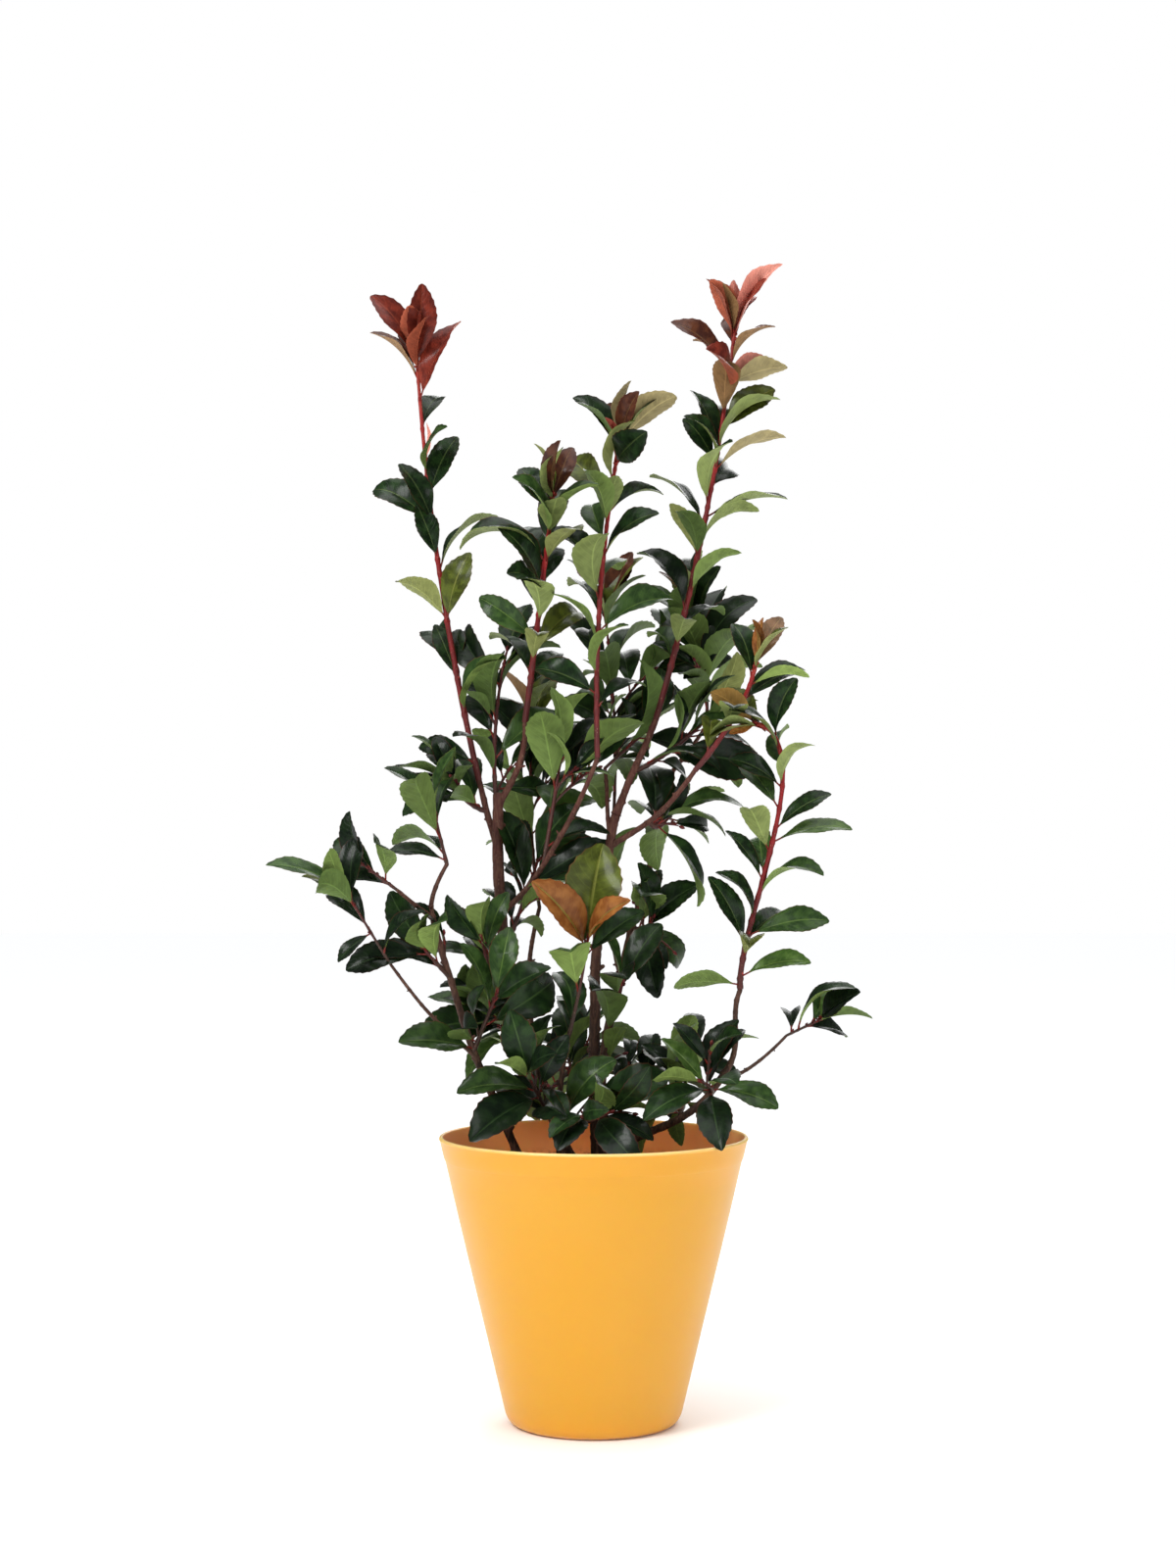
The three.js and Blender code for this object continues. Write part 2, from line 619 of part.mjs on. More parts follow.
// A young leaf at rank 0 to 1 within the last stretch of a shoot.
function youngLeaf(rank, span) {
  return {
    t: 1 - lerp(...YOUNG_FROM_TIP, rank) / span,
    size: lerp(...YOUNG_SIZE, rank),
    pitch: lerp(...PITCH_YOUNG, rank),
    bend: BEND_YOUNG,
    width: YOUNG_WIDTH,
  };
}

// Where each leaf of a shoot stands and how it is shaped. Every leaf draws the same five random
// numbers, whether it is kept later or not.
function leafPlan({ curve, middleAt }, { leaves, young, bare, length, turn }, random) {
  const plan = [];
  for (let i = 0; i < leaves + young; i++) {
    const kind =
      i < leaves
        ? grownLeaf(i / Math.max(leaves - 1, 1), bare, curve.span)
        : youngLeaf((i - leaves + 0.5) / young, curve.span);
    const spread = (most) => most * (2 * random() - 1);
    plan.push({
      section: curve.sectionAt(kind.t),
      root: middleAt(kind.t),
      turn: turn + i * LEAF_TURN + spread(TURN_SPREAD),
      pitch: kind.pitch + spread(PITCH_SPREAD),
      length: length * kind.size * (1 + spread(LENGTH_SPREAD)),
      bend: kind.bend + spread(BEND_SPREAD),
      halfWidth: LEAF_HALF_WIDTH * kind.width * (1 + spread(WIDTH_SPREAD)),
    });
  }
  return plan;
}

// The same for a leaf that is given by its tip and the way its upper side looks.
function accentPlan({ middleAt }, accent) {
  const root = middleAt(accent.at);
  const chord = new THREE.Vector3(...accent.tip).sub(root);
  const bend = degToRad(accent.bend ?? ACCENT_BEND);
  const length = (chord.length() * bend) / (2 * Math.sin(bend / 2));
  const face = new THREE.Vector3(...accent.face);
  return { root, chord: chord.normalize(), face, length, bend, halfWidth: ACCENT_HALF_WIDTH };
}

// A leaf's own axes: chord runs from its root to its tip, and face is its upper side.
function leafAxes(plan, extraTurn) {
  if (plan.chord) {
    const face = plan.face.clone().addScaledVector(plan.chord, -plan.face.dot(plan.chord));
    return { chord: plan.chord, face: face.normalize() };
  }
  const { section, turn, pitch } = plan;
  const chord = directionFrom(section, turn + extraTurn, pitch);
  const outward = directionFrom(section, turn + extraTurn, Math.PI / 2);
  const face = section.along.clone().multiplyScalar(Math.sin(pitch));
  face.addScaledVector(outward, -Math.cos(pitch));
  face.z += SKY_PULL + SKY_PULL_FLAT * (1 - Math.abs(section.along.z));
  face.addScaledVector(chord, -face.dot(chord)).normalize();
  return { chord, face };
}

// The vertices of a leaf: the top and keel of its root, then keel, left and right at each station,
// then its tip. Its midrib is an arc that bends down from the root, and the edges of the blade
// stand a little above it.
function leafVertices({ root, length, halfWidth, bend }, { chord, face }) {
  const half = bend / 2;
  const start = chord.clone().multiplyScalar(Math.cos(half)).addScaledVector(face, Math.sin(half));
  const normal = face.clone().multiplyScalar(Math.cos(half));
  normal.addScaledVector(chord, -Math.sin(half));
  const side = new THREE.Vector3().crossVectors(start, normal);
  const midrib = (u) =>
    root
      .clone()
      .addScaledVector(start, (length * Math.sin(bend * u)) / bend)
      .addScaledVector(normal, (-length * (1 - Math.cos(bend * u))) / bend);
  const vertices = [
    root.clone().addScaledVector(normal, LEAF_ROOT_HEIGHT / 2),
    root.clone().addScaledVector(normal, -LEAF_ROOT_HEIGHT / 2),
  ];
  LEAF_STATIONS.forEach((u, station) => {
    const up = normal.clone().multiplyScalar(Math.cos(bend * u));
    up.addScaledVector(start, Math.sin(bend * u));
    const keel = midrib(u).addScaledVector(up, -LEAF_KEEL * length);
    const edges = midrib(u).addScaledVector(up, LEAF_RISE * length);
    const reach = halfWidth * length * LEAF_OUTLINE[station];
    vertices.push(keel, edges.clone().addScaledVector(side, -reach), edges.addScaledVector(side, reach));
  });
  vertices.push(midrib(1));
  return vertices;
}

// The leaf's faces, by the order of leafVertices: 0-1 root, 2-4 and 5-7 the stations, 8 tip.
const LEFT_FACES = [[0, 3, 1], [1, 3, 2], [2, 3, 6], [2, 6, 5], [5, 6, 8]];
const MIRRORED = [0, 1, 2, 4, 3, 5, 7, 6, 8]; // left and right change places
const LEAF_FACES = [
  ...[[0, 4, 3], [4, 7, 6], [4, 6, 3], [7, 8, 6]], // upper side
  ...LEFT_FACES,
  ...LEFT_FACES.map(([a, b, c]) => [MIRRORED[a], MIRRORED[c], MIRRORED[b]]),
];
// The same blade cut off short of its root, for measuring how far it stands from its own shoot.
const BLADE_FACES = [
  ...LEAF_FACES.filter((face) => Math.min(...face) > 1).map((face) => face.map((vertex) => vertex - 2)),
  [1, 0, 2],
];

function makeLeaf(plan, extraTurn) {
  const vertices = leafVertices(plan, leafAxes(plan, extraTurn));
  const positions = vertices.flatMap((vertex) => vertex.toArray());
  return {
    whole: solidFrom(positions, LEAF_FACES.flat()),
    blade: solidFrom(positions.slice(6), BLADE_FACES.flat()),
  };
}

// True where two solids stand at least the clearance apart.
function standsClear(solid, other, clearance) {
  const a = solid.boundingBox();
  const b = other.boundingBox();
  const apart = [0, 1, 2].some(
    (k) => a.min[k] - b.max[k] > clearance || b.min[k] - a.max[k] > clearance,
  );
  return apart || solid.minGap(other, 2 * clearance) >= clearance;
}

// ---------------------------------------------------------------- foliage masses

// A mass before its leaves: its settings, its random numbers and its shoots.
function startMass(name, limbs, taken) {
  const settings = { ...MASS_DEFAULTS, ...MASSES[name] };
  const turn = degToRad(settings.turn);
  const random = seededRandom(settings.seed);
  const limb = limbs[settings.on];
  const curve = new LimbCurve(
    limb.curve.getPoint(settings.at).toArray(),
    settings.tip,
    settings.bow,
    settings.hook,
  );
  const footRadius = Math.min(SHOOT_FOOT * limb.radiusAt(settings.at), SHOOT_MOST_RADIUS);
  const shoots = [makeShoot(curve, footRadius)];
  for (const sideCurve of sideShootCurves(curve, settings.sides, turn, random)) {
    const shoot = makeShoot(sideCurve, SIDE_SHOOT_RADIUS);
    if (taken.every((solid) => standsClear(shoot.solid, solid, LEAF_CLEARANCE))) shoots.push(shoot);
  }
  return { name, settings, turn, random, shoots, leaves: [] };
}

// Adds a leaf where some turn of it round the shoot stands clear of everything.
function growLeaf(mass, plan, masses, fixed) {
  for (const extraTurn of TRY_TURNS) {
    const leaf = makeLeaf(plan, extraTurn);
    const clearOfFixed = fixed.every((solid) => standsClear(leaf.whole, solid, LEAF_CLEARANCE));
    const clearOfMasses = masses.every((other) => {
      const part = other === mass ? leaf.blade : leaf.whole;
      const own = other === mass ? "blade" : "whole";
      return (
        other.shoots.every(({ solid }) => standsClear(part, solid, LEAF_CLEARANCE)) &&
        other.leaves.every((old) => standsClear(part, old[own], LEAF_CLEARANCE))
      );
    });
    if (clearOfFixed && clearOfMasses) {
      mass.leaves.push(leaf);
      return;
    }
  }
}

function growMass(mass, masses, fixed) {
  const { settings, turn, random } = mass;
  for (const accent of ACCENTS[mass.name] ?? []) {
    growLeaf(mass, accentPlan(mass.shoots[0], accent), masses, fixed);
  }
  mass.shoots.forEach((shoot, i) => {
    const own = i === 0 ? {} : SIDE_SHOOT_LEAVES;
    const plan = leafPlan(shoot, { ...settings, ...own, turn }, random);
    for (const leaf of plan) growLeaf(mass, leaf, masses, fixed);
  });
}

// One solid of a mass's shoots and leaves, cut clear of the limbs it grows on.
function fuseMass(mass, limbs) {
  const shoots = mass.shoots.map(({ solid }) => solid);
  const pieces = [...shoots, ...mass.leaves.map(({ whole }) => whole)];
  let fused = wasm.Manifold.union(pieces);
  for (const { keepOut } of Object.values(limbs)) fused = fused.subtract(keepOut);
  return largestPiece(fused.simplify(SLIVER));
}

// ---------------------------------------------------------------- the whole plant

function named(name, solid, material) {
  const mesh = new THREE.Mesh(geometryOf(solid), material);
  mesh.name = name;
  return mesh;
}

const pot = solidFromGeometry(turned(planterProfile()));
const soil = solidFromGeometry(turned(soilProfile()));
const limbs = makeLimbs();
const fixedSolids = [pot, soil, ...Object.values(limbs).map(({ solid }) => solid)];

const masses = [];
for (const name of Object.keys(MASSES)) {
  const taken = [...fixedSolids, ...masses.flatMap((mass) => mass.shoots.map(({ solid }) => solid))];
  masses.push(startMass(name, limbs, taken));
}
for (const mass of masses) growMass(mass, masses, fixedSolids);

const group = new THREE.Group();
group.add(named("pot", pot, MATERIALS.planter));
group.add(named("potting_soil", soil, MATERIALS.soil));
for (const [name, { solid }] of Object.entries(limbs)) group.add(named(name, solid, MATERIALS.bark));
for (const mass of masses) {
  const material = mass.settings.young >= FLUSH_YOUNG ? MATERIALS.flush : MATERIALS.foliage;
  group.add(named(mass.name, fuseMass(mass, limbs), material));
}

export default group;
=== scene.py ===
"""Dresses a potted photinia: its leaves, shoots, bark, planter and potting mix.

Shapes are worked out in millimetres and written in metres. The origin is the middle of the
planter's flat underside, +Z is up, and the shrub's broad side looks along -Y.
"""

import logging
import math
from dataclasses import dataclass, field
from enum import Enum
from typing import Any, Callable, Optional, Sequence, Union

import bpy
import numpy as np
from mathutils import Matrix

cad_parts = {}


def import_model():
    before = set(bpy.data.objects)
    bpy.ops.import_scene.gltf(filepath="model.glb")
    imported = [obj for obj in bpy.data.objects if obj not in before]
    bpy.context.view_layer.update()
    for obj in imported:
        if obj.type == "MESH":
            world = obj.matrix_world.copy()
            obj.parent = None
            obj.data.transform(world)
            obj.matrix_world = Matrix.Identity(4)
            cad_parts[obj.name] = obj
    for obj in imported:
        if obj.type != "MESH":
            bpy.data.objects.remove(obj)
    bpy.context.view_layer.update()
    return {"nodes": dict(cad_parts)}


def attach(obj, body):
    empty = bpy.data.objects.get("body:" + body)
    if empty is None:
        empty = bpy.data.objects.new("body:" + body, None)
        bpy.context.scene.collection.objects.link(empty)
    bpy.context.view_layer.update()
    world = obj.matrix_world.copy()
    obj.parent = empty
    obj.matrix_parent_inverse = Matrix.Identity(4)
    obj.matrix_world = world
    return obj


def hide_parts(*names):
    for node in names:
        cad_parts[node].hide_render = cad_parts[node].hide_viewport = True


LOG = logging.getLogger("photinia")
MM = 0.001
WORD = 0xFFFFFFFF
YOUTH = "youth"  # the attribute that says how young a shoot or how pale a chip is, from 0 to 1
Pair = tuple[float, float]
Triple = tuple[float, float, float]
Input = Union["Socket", float, Sequence[float]]

# The leaves' shared map: columns side by side, the upper sides in its top half.
LEAF_MAP = "OFBake"
MAP_COLUMNS = 4
MAP_HALF = 0.47  # of a column, from the midrib to the edge
MAP_MARGIN = 0.015  # of a half, below the stalk
MAP_REACH = 0.97  # of a half, from the stalk's foot to the tip


def array(values: Sequence[float]) -> np.ndarray:
    """The values as an array of doubles."""
    return np.array(values, dtype=float)


def unit(vectors: np.ndarray) -> np.ndarray:
    """The vectors along the last axis, at length 1."""
    return vectors / np.linalg.norm(vectors, axis=-1, keepdims=True)


def lerp(low: Any, high: Any, share: Any) -> Any:
    """The value at a share of the way from low to high."""
    return low + (high - low) * share


def square(vector: np.ndarray, axis: np.ndarray) -> np.ndarray:
    """The unit vector of what the vector has square to the axis."""
    return unit(vector - axis * (vector @ axis))


def angles(sides: int) -> np.ndarray:
    """Equal steps round a ring."""
    return np.linspace(0.0, 2 * np.pi, sides, endpoint=False)


def circles(wide: np.ndarray, deep: np.ndarray, sides: int) -> np.ndarray:
    """Circles of radius 1: wide cos a + deep sin a, with the angles before the last axis."""
    angle = angles(sides)[:, None]
    return wide[..., None, :] * np.cos(angle) + deep[..., None, :] * np.sin(angle)


def turned(radii: np.ndarray, heights: np.ndarray, sides: int) -> np.ndarray:
    """Rings about Z: (r cos a, r sin a, z), by ring, angle and axis."""
    angle, tall = angles(sides), np.repeat(heights[:, None], sides, axis=1)
    return np.stack([radii[:, None] * np.cos(angle), radii[:, None] * np.sin(angle), tall], axis=-1)


def linear(colour: Sequence[float]) -> tuple[float, ...]:
    """Turns a display colour into linear light.

    Args:
        colour: Red, green and blue from 0 to 255.

    Returns:
        The three shares of light, and an alpha of 1.
    """
    shares = np.asarray(colour, dtype=float) / 255.0
    light = np.where(shares <= 0.04045, shares / 12.92, ((shares + 0.055) / 1.055) ** 2.4)
    return (*light.tolist(), 1.0)


class RandomStream:
    """Repeatable numbers from 0 to 1, the same ones that the solids were grown with."""

    def __init__(self, seed: int) -> None:
        """Starts the stream at a seed."""
        self.state = seed & WORD

    def __call__(self) -> float:
        """Draws a number.

        Returns:
            The number.
        """
        self.state = (self.state + 0x6D2B79F5) & WORD
        mixed = (self.state ^ (self.state >> 15)) * (self.state | 1) & WORD
        mixed ^= (mixed + (mixed ^ (mixed >> 7)) * (mixed | 61)) & WORD
        return (mixed ^ (mixed >> 14)) / (WORD + 1)

    def spread(self, most: float) -> float:
        """The next number, from -most to most."""
        return most * (2.0 * self() - 1.0)


# ---------------------------------------------------------------- shader nodes


def operator(operation: str, reflected: bool = False) -> Callable[..., "Socket"]:
    """A method of Socket for a Math node's operation.

    Args:
        operation: The operation, on the socket and what it is calculated with.
        reflected: Whether the socket comes last.

    Returns:
        The method.
    """

    def method(self: "Socket", *others: Input) -> "Socket":
        """The result."""
        return self.maths(operation, *((*others, self) if reflected else (self, *others)))

    return method


@dataclass(frozen=True)
class Socket:
    """An output socket that adds Math nodes when it is calculated with."""

    shader: "Shader"
    link: bpy.types.NodeSocket

    def maths(self, operation: str, *values: Input) -> "Socket":
        """A Math node of an operation on the values."""
        return self.shader.node("ShaderNodeMath", {"operation": operation}, dict(enumerate(values)))

    __add__ = __radd__ = operator("ADD")
    __mul__ = __rmul__ = operator("MULTIPLY")
    __sub__, __rsub__ = operator("SUBTRACT"), operator("SUBTRACT", reflected=True)
    __truediv__, __abs__ = operator("DIVIDE"), operator("ABSOLUTE")
    whole, part = operator("FLOOR"), operator("FRACT")

    def ease(self, low: float, high: float) -> "Socket":
        """A smooth step from 0 where self is low to 1 where it is high."""
        values = {"Value": self, "From Min": low, "From Max": high}
        return self.shader.node("ShaderNodeMapRange", {"interpolation_type": "SMOOTHSTEP"}, values)


class Shader:
    """A material whose node tree ends in one Principled BSDF."""

    def __init__(self, name: str, **constants: Any) -> None:
        """Starts a material.

        Args:
            name: The material's name.
            constants: Values for the shader's own sockets, with _ for a space in their names.
        """
        self.material = bpy.data.materials.new(name)
        self.material.use_nodes = True
        self.tree = self.material.node_tree
        self.surface = self.tree.nodes["Principled BSDF"]
        for socket, value in constants.items():
            self.surface.inputs[socket.replace("_", " ")].default_value = value

    def node(
        self,
        kind: str,
        settings: Optional[dict[str, Any]] = None,
        inputs: Optional[dict[Union[int, str], Input]] = None,
        output: Union[int, str] = 0,
    ) -> Socket:
        """Adds a node.

        Args:
            kind: The node's type.
            settings: Its properties, set first; "stops" gives a ramp's (place, display colour) pairs.
            inputs: A value or a link for each input socket, by name or number.
            output: The output socket that is returned.

        Returns:
            The node's output.
        """
        made = self.tree.nodes.new(kind)
        for name, setting in (settings or {}).items():
            if name != "stops":
                setattr(made, name, setting)
                continue
            elements = made.color_ramp.elements
            while len(elements) < len(setting):
                elements.new(0.5)
            for element, (place, colour) in zip(elements, setting):
                element.position = place
                element.color = linear(colour)
        for key, value in (inputs or {}).items():
            self.feed(made.inputs[key], value)
        return Socket(self, made.outputs[output])

    def feed(self, target: bpy.types.NodeSocket, value: Input) -> None:
        """Feeds a node's input.

        Args:
            target: The input socket.
            value: A socket that is linked to it, or a plain value that is set on it.
        """
        if isinstance(value, Socket):
            self.tree.links.new(value.link, target)
        else:
            target.default_value = value

    def mix(self, share: Input, low: Any, high: Any) -> Socket:
        """The colour at a share of the way from low to high, each a socket or a display colour."""
        low, high = (value if isinstance(value, Socket) else linear(value) for value in (low, high))
        return self.node("ShaderNodeMix", {"data_type": "RGBA"}, {0: share, 6: low, 7: high}, 2)

    def coated(self, colour: Any, *coats: tuple[Socket, float, Sequence[float]]) -> Socket:
        """Coats a colour.

        Args:
            colour: A socket or a display colour.
            coats: Each coat's place as a socket from 0 to 1, its strength and its display colour.

        Returns:
            The colour, with the last coat on top.
        """
        for where, strength, coat in coats:
            colour = self.mix(where * strength, colour, coat)
        return colour

    def ramp(self, factor: Socket, *stops: tuple[float, Triple]) -> Socket:
        """The display colour of a factor, between stops of (factor, colour)."""
        return self.node("ShaderNodeValToRGB", {"stops": stops}, {"Fac": factor})

    def dim(self, colour: Socket, factor: Input) -> Socket:
        """The colour times a factor."""
        return self.node("ShaderNodeVectorMath", {"operation": "SCALE"}, {0: colour, 3: factor})

    def axes(self, vector: Socket) -> tuple[Socket, Socket, Socket]:
        """The vector's three parts."""
        split = self.node("ShaderNodeSeparateXYZ", None, {0: vector}).link.node
        return tuple(Socket(self, output) for output in split.outputs)

    def joined(self, x: Input, y: Input, z: Input) -> Socket:
        """A vector of three parts."""
        return self.node("ShaderNodeCombineXYZ", None, {0: x, 1: y, 2: z})

    def place(self, *scale: float) -> Socket:
        """Object coordinates, in metres, scaled along each axis where a scale is given."""
        place = self.node("ShaderNodeTexCoord", None, None, "Object")
        return self.node("ShaderNodeMapping", None, {"Vector": place, "Scale": scale}) if scale else place

    def youth(self) -> Socket:
        """The attribute YOUTH."""
        return self.node("ShaderNodeAttribute", {"attribute_name": YOUTH}, None, "Fac")

    def noise(self, vector: Socket, scale: float, detail: float = 2.0, rough: float = 0.5) -> Socket:
        """Soft noise from 0 to 1, with scale ripples to a unit."""
        values = {"Vector": vector, "Scale": scale, "Detail": detail, "Roughness": rough}
        return self.node("ShaderNodeTexNoise", None, values)

    def cells(self, vector: Socket, scale: float) -> Socket:
        """The distance to the nearest of scattered points, with scale points to a unit."""
        return self.node("ShaderNodeTexVoronoi", None, {"Vector": vector, "Scale": scale})

    def finished(
        self, colour: Socket, rough: Socket, height: Socket, depth: float, strength: float = 1.0
    ) -> bpy.types.Material:
        """Feeds the surface and ends the material.

        Args:
            colour: Its base colour.
            rough: Its roughness.
            height: Its relief, from 0 to 1.
            depth: How far a height of 1 stands out, in metres.
            strength: The share of the relief that shows.

        Returns:
            The material.
        """
        values = {"Height": height, "Distance": depth, "Strength": strength}
        bump = self.node("ShaderNodeBump", None, values)
        for socket, value in (("Base Color", colour), ("Roughness", rough), ("Normal", bump)):
            self.feed(self.surface.inputs[socket], value)
        return self.material


# ---------------------------------------------------------------- meshes


def loft_faces(rows: int, sides: int, count: int = 1) -> list[np.ndarray]:
    """The faces of closed lofts that follow each other. In each, vertex (row, side) is row * sides + side.

    Args:
        rows: Rings along a loft.
        sides: Vertices round it, counter-clockwise as seen from its far end.
        count: How many lofts there are.

    Returns:
        Their quads, ring by ring, and the two polygons that close each one's ends.
    """
    row, side = np.meshgrid(np.arange(rows - 1), np.arange(sides), indexing="ij")
    near, far = row * sides + side, row * sides + (side + 1) % sides
    quads = np.stack([near, far, far + sides, near + sides], axis=-1).reshape(-1, 4)
    ring = np.arange(sides)
    caps = np.stack([ring[::-1], ring + (rows - 1) * sides])
    start = (np.arange(count) * rows * sides)[:, None, None]
    return [(block + start).reshape(-1, block.shape[1]) for block in (quads, caps)]


def turned_faces(rows: int, sides: int) -> list[np.ndarray]:
    """The faces of a turned body: vertex 0 is its first pole, then come the rings, then its last pole.

    Args:
        rows: Rings between the poles.
        sides: Vertices round each ring.

    Returns:
        Its quads and the triangles round the poles.
    """
    quads = loft_faces(rows, sides)[0] + 1
    ring, ahead = np.arange(sides), (np.arange(sides) + 1) % sides
    last = (rows - 1) * sides + 1
    first_fan = np.stack([np.zeros_like(ring), ahead + 1, ring + 1], axis=-1)
    last_fan = np.stack([ring + last, ahead + last, np.full_like(ring, rows * sides + 1)], axis=-1)
    return [quads, np.concatenate([first_fan, last_fan])]


class Piece:
    """One mesh object that is gathered from closed shapes and then dressed."""

    def __init__(self, name: str, *materials: bpy.types.Material) -> None:
        """Starts a piece.

        Args:
            name: Its name.
            materials: Its materials, by slot.
        """
        self.name = name
        self.materials = materials
        self.count = 0
        self.points: list[np.ndarray] = []
        self.faces: list[list[int]] = []
        self.slots: list[np.ndarray] = []
        self.places: list[np.ndarray] = []
        self.values: list[np.ndarray] = []

    def add(
        self,
        points: np.ndarray,
        faces: Sequence[np.ndarray],
        slots: Optional[Sequence[np.ndarray]] = None,
        places: Sequence[np.ndarray] = (),
        values: Optional[np.ndarray] = None,
    ) -> None:
        """Adds one shape.

        Args:
            points: Its vertices in millimetres.
            faces: Arrays of faces that number its vertices from 0.
            slots: A material slot for each face of each array.
            places: A map place for each corner of each array.
            values: A number for each vertex, kept as the attribute YOUTH.
        """
        flat = points.reshape(-1, 3)
        for block in faces:
            self.faces.extend((block + self.count).tolist())
        self.slots.extend(slots or [np.zeros(len(block), int) for block in faces])
        self.places.extend(place.reshape(-1, 2) for place in places)
        self.points.append(flat)
        self.values.append(np.zeros(len(flat)) if values is None else values.reshape(-1))
        self.count += len(flat)

    def add_lofts(self, points: np.ndarray, **extras: Any) -> None:
        """Adds closed lofts, given by loft, ring, point round and axis, with what else add takes."""
        count, rows, sides, _ = points.shape
        self.add(points, loft_faces(rows, sides, count), **extras)

    def build(self, slot: str, nodes: Sequence[str], crease: float = 50.0) -> None:
        """Writes the mesh, in metres, and gives it its place in the frame.

        Args:
            slot: Not used.
            nodes: The CAD nodes that it stands for.
            crease: The angle in degrees past which an edge is sharp.
        """
        mesh = bpy.data.meshes.new(self.name)
        mesh.from_pydata(np.concatenate(self.points) * MM, [], self.faces)
        mesh.polygons.foreach_set("material_index", np.concatenate(self.slots).astype(np.int32))
        if self.places:
            layer = mesh.uv_layers.new(name=LEAF_MAP)
            layer.uv.foreach_set("vector", np.concatenate(self.places).astype(np.float32).ravel())
        youth = mesh.attributes.new(YOUTH, "FLOAT", "POINT")
        youth.data.foreach_set("value", np.concatenate(self.values).astype(np.float32))
        mesh.shade_smooth()
        mesh.set_sharp_from_angle(angle=math.radians(crease))
        for material in self.materials:
            mesh.materials.append(material)
        made = bpy.data.objects.new(self.name, mesh)
        bpy.context.scene.collection.objects.link(made)
        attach(made, "root")
        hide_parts(*nodes)
        LOG.info("%s: %d faces for %d nodes", self.name, len(mesh.polygons), len(nodes))


# ---------------------------------------------------------------- centre lines


@dataclass(frozen=True)
class Section:
    """Unit vectors at places on a curve: its direction and two across it, right-handed."""

    along: np.ndarray
    across: np.ndarray
    aside: np.ndarray

    def outward(self, turn: Any) -> np.ndarray:
        """The directions across the curve at angles round it."""
        turn = np.asarray(turn, dtype=float)[..., None]
        return self.across * np.cos(turn) + self.aside * np.sin(turn)

    def direction(self, turn: float, pitch: float) -> np.ndarray:
        """The direction at an angle turn round the curve and pitch away from it."""
        return self.along * math.cos(pitch) + self.outward(turn) * math.sin(pitch)


@dataclass(frozen=True)
class Curve:
    """A centre line: start + (end - start) t + 4 t (1 - t) bow + 6.75 t^2 (1 - t) hook."""

    start: np.ndarray
    end: np.ndarray
    bow: np.ndarray
    hook: np.ndarray

    @property
    def span(self) -> float:
        """The straight distance from start to end."""
        return float(np.linalg.norm(self.end - self.start))

    def point(self, t: Any) -> np.ndarray:
        """Works out the points of the line.

        Args:
            t: A number or an array, from 0 at the start to 1 at the end.

        Returns:
            The points, with their axes last.
        """
        t = np.asarray(t, dtype=float)[..., None]
        straight = self.start + (self.end - self.start) * t
        return straight + self.bow * (4 * t * (1 - t)) + self.hook * (6.75 * t * t * (1 - t))

    def section(self, t: Any) -> Section:
        """Works out sections: across is the world axis that the line runs along least, squared up.

        Args:
            t: A number or an array, from 0 at the start to 1 at the end.

        Returns:
            The sections.
        """
        t = np.asarray(t, dtype=float)[..., None]
        line = self.end - self.start
        along = unit(line + self.bow * (4 * (1 - 2 * t)) + self.hook * (6.75 * (2 * t - 3 * t * t)))
        axis = np.eye(3)[int(np.argmin(np.abs(line)))]
        across = unit(axis - along * (along @ axis)[..., None])
        return Section(along, across, np.cross(along, across))

    def tube(self, t: np.ndarray, radii: np.ndarray, shift: Any = 0.0) -> np.ndarray:
        """Rings at t, by ring and angle: point(t) + shift + radius (across cos a + aside sin a)."""
        section, middle = self.section(t), self.point(t) + shift
        return middle[:, None] + circles(section.across, section.aside, radii.shape[1]) * radii[..., None]


# ---------------------------------------------------------------- finishes


